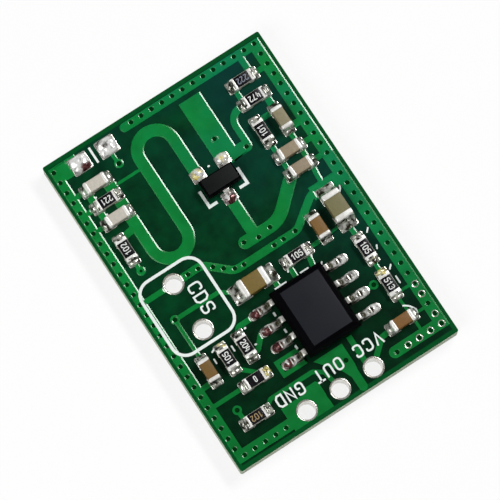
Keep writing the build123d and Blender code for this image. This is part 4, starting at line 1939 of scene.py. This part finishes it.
@dataclass
class SolderWork:
    """Solder as it set: fillets at the chip ends, lumps over the lead feet and the jumper's halves.

    Heights are given at shares of a mound's length and of its half width.
    """

    finishes: Finishes
    chip_ends: tuple[Fillets, ...] = (
        Fillets("capacitor", 10, climb=0.8, lap=0.05, first_seed=0.0),
        Fillets("resistor", 12, climb=1.04, lap=0.13, first_seed=40.0),
    )
    lead_feet: tuple[Lumps, ...] = (
        Lumps("control_chip", CHIP_LEADS, 1.0, 0.66, 0.34, 0.6, along_x=True, first_seed=80.0),
        Lumps("transistor", TRANSISTOR_LEADS, 0.72, 0.92, 0.26, 0.0, along_x=False, first_seed=120.0),
    )
    small_reach: float = 0.37
    large_reach: float = 0.65
    fillet_width: float = 1.04
    fillet_roundness: float = 0.5
    toe: float = 0.04
    fall: Point = (2.2, 0.5)
    swell: float = 0.16
    aside: float = 0.3
    lump_swing: float = 0.25
    lump_back: float = 0.42
    lump_roundness: float = 0.85
    hump_start: float = 0.12
    hump_fullness: float = 0.8
    side_fall: float = 0.9
    neck_place: float = 0.4
    neck_reach: float = 0.11
    jumper_roundness: float = 0.45
    jumper_seeds: Point = (11.0, 20.0)
    dome_fall: float = 0.75
    dome_share: float = 0.75
    ridge_lean: float = 0.8
    ridge_narrow: float = 1.6
    ridge_share: float = 0.2
    edge_height: float = 0.02
    least_height: float = 0.012
    across: int = 10
    outward: int = 14
    roughness: float = 0.035
    lumps_per_mm: Point = (2.6, 1.9)
    lump_fineness: float = 1.6
    seed_step: float = 3.7
    fillet_seeds: Point = (5.3, 1.7)
    fillet_draw: Point = (0.3, 1.9)
    foot_seed: float = 3.1
    foot_draw: Point = (2.3, 0.7)

    def mound(
        self,
        bm: bmesh.types.BMesh,
        place: Matrix,
        size: Point,
        shape: Callable[[float, float], float],
        seed: float,
        roundness: float,
        straight_back: bool = False,
    ) -> None:
        """Adds one closed mound of solder that stands on a pad.

        Args:
            bm: The mesh that takes it.
            place: Takes the mound, made from x = 0 to its length on z = 0, to its place.
            size: How far it runs outward, and its full width.
            shape: Gives the height at shares of the length and of the half width.
            seed: Sets this mound's unevenness apart.
            roundness: 0 for a rectangle in plan and 1 for an ellipse.
            straight_back: Whether only the outward corners are rounded.
        """
        length, width = size
        made = bmesh.ops.create_grid(bm, x_segments=self.outward, y_segments=self.across, size=0.5)
        verts = made["verts"]
        for v in verts:
            u, side = v.co.x + 0.5, v.co.y * 2
            ahead = u if straight_back else 2 * u - 1
            far = ahead * math.sqrt(1 - roundness * side * side / 2)
            out = side * math.sqrt(1 - roundness * ahead * ahead / 2)
            x, y = u * length * self.lumps_per_mm[0] + seed, side * width * self.lumps_per_mm[1]
            spot = Vector((x, y, seed * self.seed_step))
            lump = noise.noise(spot * self.lump_fineness) * self.roughness * (1 - abs(side) ** 3)
            along = far * length if straight_back else (far + 1) * length / 2
            v.co = Vector((along, out * width / 2, max(self.least_height, shape(u, side) + lump)))
        edges = each_once(e for v in verts for e in v.link_edges if e.is_boundary)
        skirt = bmesh.ops.extrude_edge_only(bm, edges=edges)["geom"]
        low = new_verts(skirt)
        for v in low:
            v.co.z = 0.0
        bottom = [e for e in skirt if isinstance(e, bmesh.types.BMEdge) and all(v in low for v in e.verts)]
        bmesh.ops.edgeloop_fill(bm, edges=bottom)
        bmesh.ops.transform(bm, matrix=place, verts=list(verts) + low)

    def fillet_height(self, u: float, v: float, start: float, rise: float) -> float:
        """Height of a concave fillet with a low swell before its end.

        Args:
            u: Share of the way outward.
            v: Share of the way to the side.
            start: Where the fillet leaves the chip's end.
            rise: How far it climbs.

        Returns:
            The height over the pad.
        """
        out = max(0.0, u - start) / (1 - start)
        climb = (1 - out) ** (self.fall[0] + self.fall[1] * v * v)
        wave = math.sin(math.pi * min(1.0, max(0.0, out * 1.5 - 0.5)))
        body = (rise - self.toe) * climb * (1 - self.aside * abs(v) ** 4)
        return self.toe + body + self.swell * wave * (1 - v * v)

    def lump_height(self, u: float, v: float, rise: float, neck: float) -> float:
        """Height of a round lump, highest over the toe, with a neck behind it.

        Args:
            u: Share of the way outward.
            v: Share of the way to the side.
            rise: How high the lump is.
            neck: How much lower it is at its neck.

        Returns:
            The height over the pad.
        """
        turn = math.pi * min(1.0, self.hump_start + (1 - self.hump_start) * u)
        hump = math.sin(turn) ** self.hump_fullness
        dip = 1 - neck * math.exp(-(((u - self.neck_place) / self.neck_reach) ** 2))
        return self.edge_height + rise * hump * dip * math.sqrt(max(0.0, 1 - self.side_fall * v * v))

    def dome_height(self, u: float, v: float, tall: float) -> float:
        """Height of a flat dome with a ridge.

        Args:
            u: Share of the way along it.
            v: Share of the way to the side.
            tall: The height of its CAD node.

        Returns:
            The height over the pad.
        """
        x = 2 * u - 1
        dome = max(0.0, 1 - self.dome_fall * x**4) * max(0.0, 1 - self.dome_fall * v**4)
        ridge = max(0.0, 1 - abs(x + self.ridge_lean * v) * self.ridge_narrow)
        return self.edge_height + tall * (self.dome_share * dome + self.ridge_share * ridge)

    def fillets(self, form: Fillets) -> None:
        """Makes the fillets of one kind of chip.

        Args:
            form: The kind of chip and the form of its fillets.
        """
        bm = bmesh.new()
        for i in range(1, form.count + 1):
            chip = ChipBox(f"{form.kind}_{i}")
            reach = self.large_reach if chip.large else self.small_reach
            size = (reach + form.lap, chip.width * self.fillet_width)
            start = form.lap / size[0]
            for side in (-1, 1):
                seed = i * self.fillet_seeds[0] + side * self.fillet_seeds[1] + form.first_seed
                swing = 1 + form.lap * noise.noise(Vector((seed, *self.fillet_draw)))
                rise = chip.height * form.climb * swing
                turn = Matrix.Rotation(0 if side > 0 else math.pi, 4, "Z")
                place = chip.placed() @ turn @ Matrix.Translation((chip.length / 2 - form.lap, 0, 0))
                self.mound(
                    bm,
                    place,
                    size,
                    lambda u, v: self.fillet_height(u, v, start, rise),
                    seed,
                    self.fillet_roundness,
                    straight_back=True,
                )
        self.pour(f"{form.kind}_solder_fillets", bm, self.finishes.end_solder, f"{form.kind}_solder")

    def feet(self, form: Lumps) -> None:
        """Makes the solder over the feet of a package's leads.

        Args:
            form: The package and the form of its lumps.
        """
        bm = bmesh.new()
        middle = Box.of(f"{form.kind}_body").centre
        for i in range(1, form.count + 1):
            box = Box.of(f"{form.kind}_lead_{i}")
            centre = box.centre
            if form.along_x:
                side = 1 if centre.x > middle.x else -1
                toe = (box.high.x if side > 0 else box.low.x, centre.y)
                turn = 0.0 if side > 0 else math.pi
            else:
                side = 1 if centre.y > middle.y else -1
                toe = (centre.x, box.high.y if side > 0 else box.low.y)
                turn = side * math.pi / 2
            seed = i * self.foot_seed + form.first_seed
            swing = 1 + self.lump_swing * noise.noise(Vector((seed, *self.foot_draw)))
            rise = form.rise * swing
            place = (
                Matrix.Translation((*toe, COPPER_TOP))
                @ Matrix.Rotation(turn, 4, "Z")
                @ Matrix.Translation((-form.length * self.lump_back, 0, 0))
            )
            self.mound(
                bm,
                place,
                (form.length, form.width),
                lambda u, v: self.lump_height(u, v, rise, form.neck),
                seed,
                self.lump_roundness,
            )
        self.pour(f"{form.kind}_solder_lumps", bm, self.finishes.solder, f"{form.kind}_solder")

    def jumper(self) -> None:
        """Makes the two domed halves of the solder jumper."""
        for node, seed in zip(("jumper_solder_left", "jumper_solder_right"), self.jumper_seeds):
            box = Box.of(node)
            bm = bmesh.new()
            self.mound(
                bm,
                Matrix.Translation((box.low.x, box.centre.y, COPPER_TOP)),
                (box.size.x, box.size.y),
                lambda u, v: self.dome_height(u, v, box.size.z),
                seed,
                self.jumper_roundness,
            )
            self.pour(f"{node}_dome", bm, self.finishes.solder, node)

    def pour(self, name: str, bm: bmesh.types.BMesh, finish: bpy.types.Material, node: str) -> None:
        """Makes a piece of some mounds.

        Args:
            name: The piece's name.
            bm: Its mesh, freed here.
            finish: The solder's finish.
            node: The CAD node that it stands for.
        """
        bmesh.ops.recalc_face_normals(bm, faces=bm.faces)
        settle(name, bm, [finish], [node], smooth=70.0)

    def build(self) -> None:
        """Makes all the solder."""
        for ends in self.chip_ends:
            self.fillets(ends)
        for feet in self.lead_feet:
            self.feet(feet)
        self.jumper()


@dataclass
class Packages:
    """The control chip and the transistor: moulded bodies on formed leads."""

    finishes: Finishes
    chip_cut_back: float = 0.3
    transistor_cut_back: float = 0.06
    body_soft: float = 0.05
    body_soft_share: float = 0.4
    body_soft_faces: int = 3
    body_crease: float = 8.0
    body_top: float = 0.97
    lead_soft: float = 0.025
    lead_crease: float = 50.0

    def body(self, kind: str, epoxy: bpy.types.Material, cut_back: float) -> None:
        """Makes a moulded body with softened edges, its sides given painted shade.

        Args:
            kind: The package's name.
            epoxy: What it is moulded in.
            cut_back: How broad the slope round its top is.
        """
        bm = copy_of(f"{kind}_body")
        top = Box.of(f"{kind}_body").high.z
        bevelled(bm, [e for e in bm.edges if at_level(e, top, SAME_HEIGHT)], cut_back, 1)
        soft = min(self.body_soft, cut_back * self.body_soft_share)
        bevelled(bm, [e for e in bm.edges if crease(e, self.body_crease)], soft, self.body_soft_faces)
        # Faces that are not the top take the darker epoxy copy, painted shade on the sides
        paint((f for f in bm.faces if f.normal.z < self.body_top), 1)
        materials = [epoxy, self.finishes.epoxy_painted_shade]
        settle(f"{kind}_moulding", bm, materials, [f"{kind}_body"], smooth=25.0)

    def leads(self, kind: str, count: int) -> None:
        """Makes a package's leads with softened edges.

        Args:
            kind: The package's name.
            count: How many leads it has.
        """
        for i in range(1, count + 1):
            node = f"{kind}_lead_{i}"
            bm = copy_of(node)
            bevelled(bm, [e for e in bm.edges if crease(e, self.lead_crease)], self.lead_soft)
            settle(f"{node}_formed", bm, [self.finishes.tin], [node], smooth=35.0)

    def build(self) -> None:
        """Makes both packages."""
        self.body("control_chip", self.finishes.epoxy, self.chip_cut_back)
        self.leads("control_chip", CHIP_LEADS)
        self.body("transistor", self.finishes.small_epoxy, self.transistor_cut_back)
        self.leads("transistor", TRANSISTOR_LEADS)


@dataclass(frozen=True)
class Lamp:
    """A rectangular lamp that faces the board.

    Its bearing is in degrees from X towards Y and its elevation in degrees from the floor. Its distance
    and its size are in metres and its power is in watts.
    """

    name: str
    bearing: float
    elevation: float
    distance: float
    size: Point
    power: float

    def hang(self) -> None:
        """Puts the lamp in its place."""
        data = bpy.data.lights.new(self.name, "AREA")
        data.shape = "RECTANGLE"
        data.size, data.size_y = self.size
        data.energy = self.power
        a, e = math.radians(self.bearing), math.radians(self.elevation)
        towards = Vector((math.cos(a) * math.cos(e), math.sin(a) * math.cos(e), math.sin(e)))
        turn = towards.to_track_quat("Z", "Y").to_matrix().to_4x4()
        shown(self.name, data).matrix_world = Matrix.Translation(towards * self.distance) @ turn


@dataclass
class Studio:
    """The floor, the lamps, the pale surroundings and the camera."""

    camera_place: Place = (-20.633, -33.747, 222.361)
    camera_aim: Place = (-0.014, -0.076, 1.6)
    camera_turn: float = -33.17
    lens: float = 252.0
    sensor: float = 36.0
    sight: Point = (0.005, 10.0)
    floor_size: float = 1.2
    floor_drop: float = 0.00002
    floor_white: float = 0.98
    paleness: float = 0.82
    horizon_to_zenith: tuple[Point, ...] = ((0.0, 0.12), (0.3, 0.22), (0.6, 0.16), (0.8, 0.07))
    lamps: tuple[Lamp, ...] = (
        Lamp("key_lamp", bearing=14.7, elevation=53.8, distance=0.3, size=(0.14, 0.05), power=0.56),
        Lamp("fill_lamp", bearing=195.0, elevation=48.0, distance=0.2, size=(0.12, 0.12), power=0.2),
    )

    def camera(self) -> None:
        """Sets the camera over the board, turned as the photograph is."""
        data = bpy.data.cameras.new("camera")
        data.lens = self.lens
        data.sensor_width = self.sensor
        data.clip_start, data.clip_end = self.sight
        eye = shown("camera", data)
        place, aim = Vector(self.camera_place) * MM, Vector(self.camera_aim) * MM
        back = (place - aim).normalized()
        turn = math.radians(self.camera_turn)
        right = Vector((math.cos(turn), math.sin(turn), 0.0))
        right = (right - back * right.dot(back)).normalized()
        up = back.cross(right)
        eye.matrix_world = Matrix.Translation(place) @ Matrix((right, up, back)).transposed().to_4x4()
        bpy.context.scene.camera = eye

    def floor(self) -> None:
        """Lays a plain pale floor under the board."""
        bm = bmesh.new()
        bmesh.ops.create_grid(bm, x_segments=1, y_segments=1, size=self.floor_size / 2)
        bmesh.ops.translate(bm, vec=(0, 0, -self.floor_drop), verts=bm.verts)
        mesh = meshed("floor", bm)
        mesh.materials.append(self.paper())
        floor = shown("floor", mesh)

    def paper(self) -> bpy.types.Material:
        """Makes white paper that the lens sees paler than it is, so that its shadows stay light.

        Returns:
            The material.
        """
        g = Graph("floor")
        g.shader.inputs["Base Color"].default_value = (self.floor_white, self.floor_white, self.floor_white, 1)
        g.settle(Roughness=0.9, Specular_IOR_Level=0.1)
        white = g.add("ShaderNodeEmission")
        path = g.add("ShaderNodeLightPath")
        seen = g.sum_up("MAXIMUM", path.outputs["Is Camera Ray"], path.outputs["Is Glossy Ray"])
        seen = g.sum_up("MAXIMUM", seen, path.outputs["Is Transmission Ray"])
        blend = g.add("ShaderNodeMixShader")
        g.join(g.sum_up("MULTIPLY", seen, self.paleness), blend.inputs["Fac"])
        g.join(g.shader.outputs["BSDF"], blend.inputs[1])
        g.join(white.outputs["Emission"], blend.inputs[2])
        g.join(blend.outputs["Shader"], g.tree.nodes["Material Output"].inputs["Surface"])
        return g.material

    def surroundings(self) -> None:
        """Makes the surroundings pale above the horizon and dim overhead."""
        world = bpy.data.worlds.new("surroundings")
        bpy.context.scene.world = world
        world.use_nodes = True
        tree = world.node_tree
        place = tree.nodes.new("ShaderNodeTexCoord")
        parts = tree.nodes.new("ShaderNodeSeparateXYZ")
        ramp = tree.nodes.new("ShaderNodeValToRGB")
        fill_ramp(ramp.color_ramp, [(at, (level, level, level, 1)) for at, level in self.horizon_to_zenith])
        tree.links.new(place.outputs["Generated"], parts.inputs["Vector"])
        tree.links.new(parts.outputs["Z"], ramp.inputs["Fac"])
        tree.links.new(ramp.outputs["Color"], tree.nodes["Background"].inputs["Color"])

    def build(self) -> None:
        """Sets the whole studio."""
        self.camera()
        self.floor()
        self.surroundings()
        for lamp in self.lamps:
            lamp.hang()
        bpy.context.scene.view_settings.view_transform = "Standard"


def main() -> None:
    """Builds the board's pieces in order."""
    logging.basicConfig(level=logging.INFO, format="%(message)s")
    finishes = Finishes()
    vias = ViaField(finishes)
    for part in (
        BareBoard(finishes),
        CopperRelief(finishes, vias),
        vias,
        PlatedHoles(finishes),
        BarePads(finishes),
        Printing(finishes),
        ChipCapacitors(finishes),
        ChipResistors(finishes),
        Packages(finishes),
        SolderWork(finishes),
        Studio(),
    ):
        log.info("%s", type(part).__name__)
        part.build()


if __name__ == "__main__":
    main()
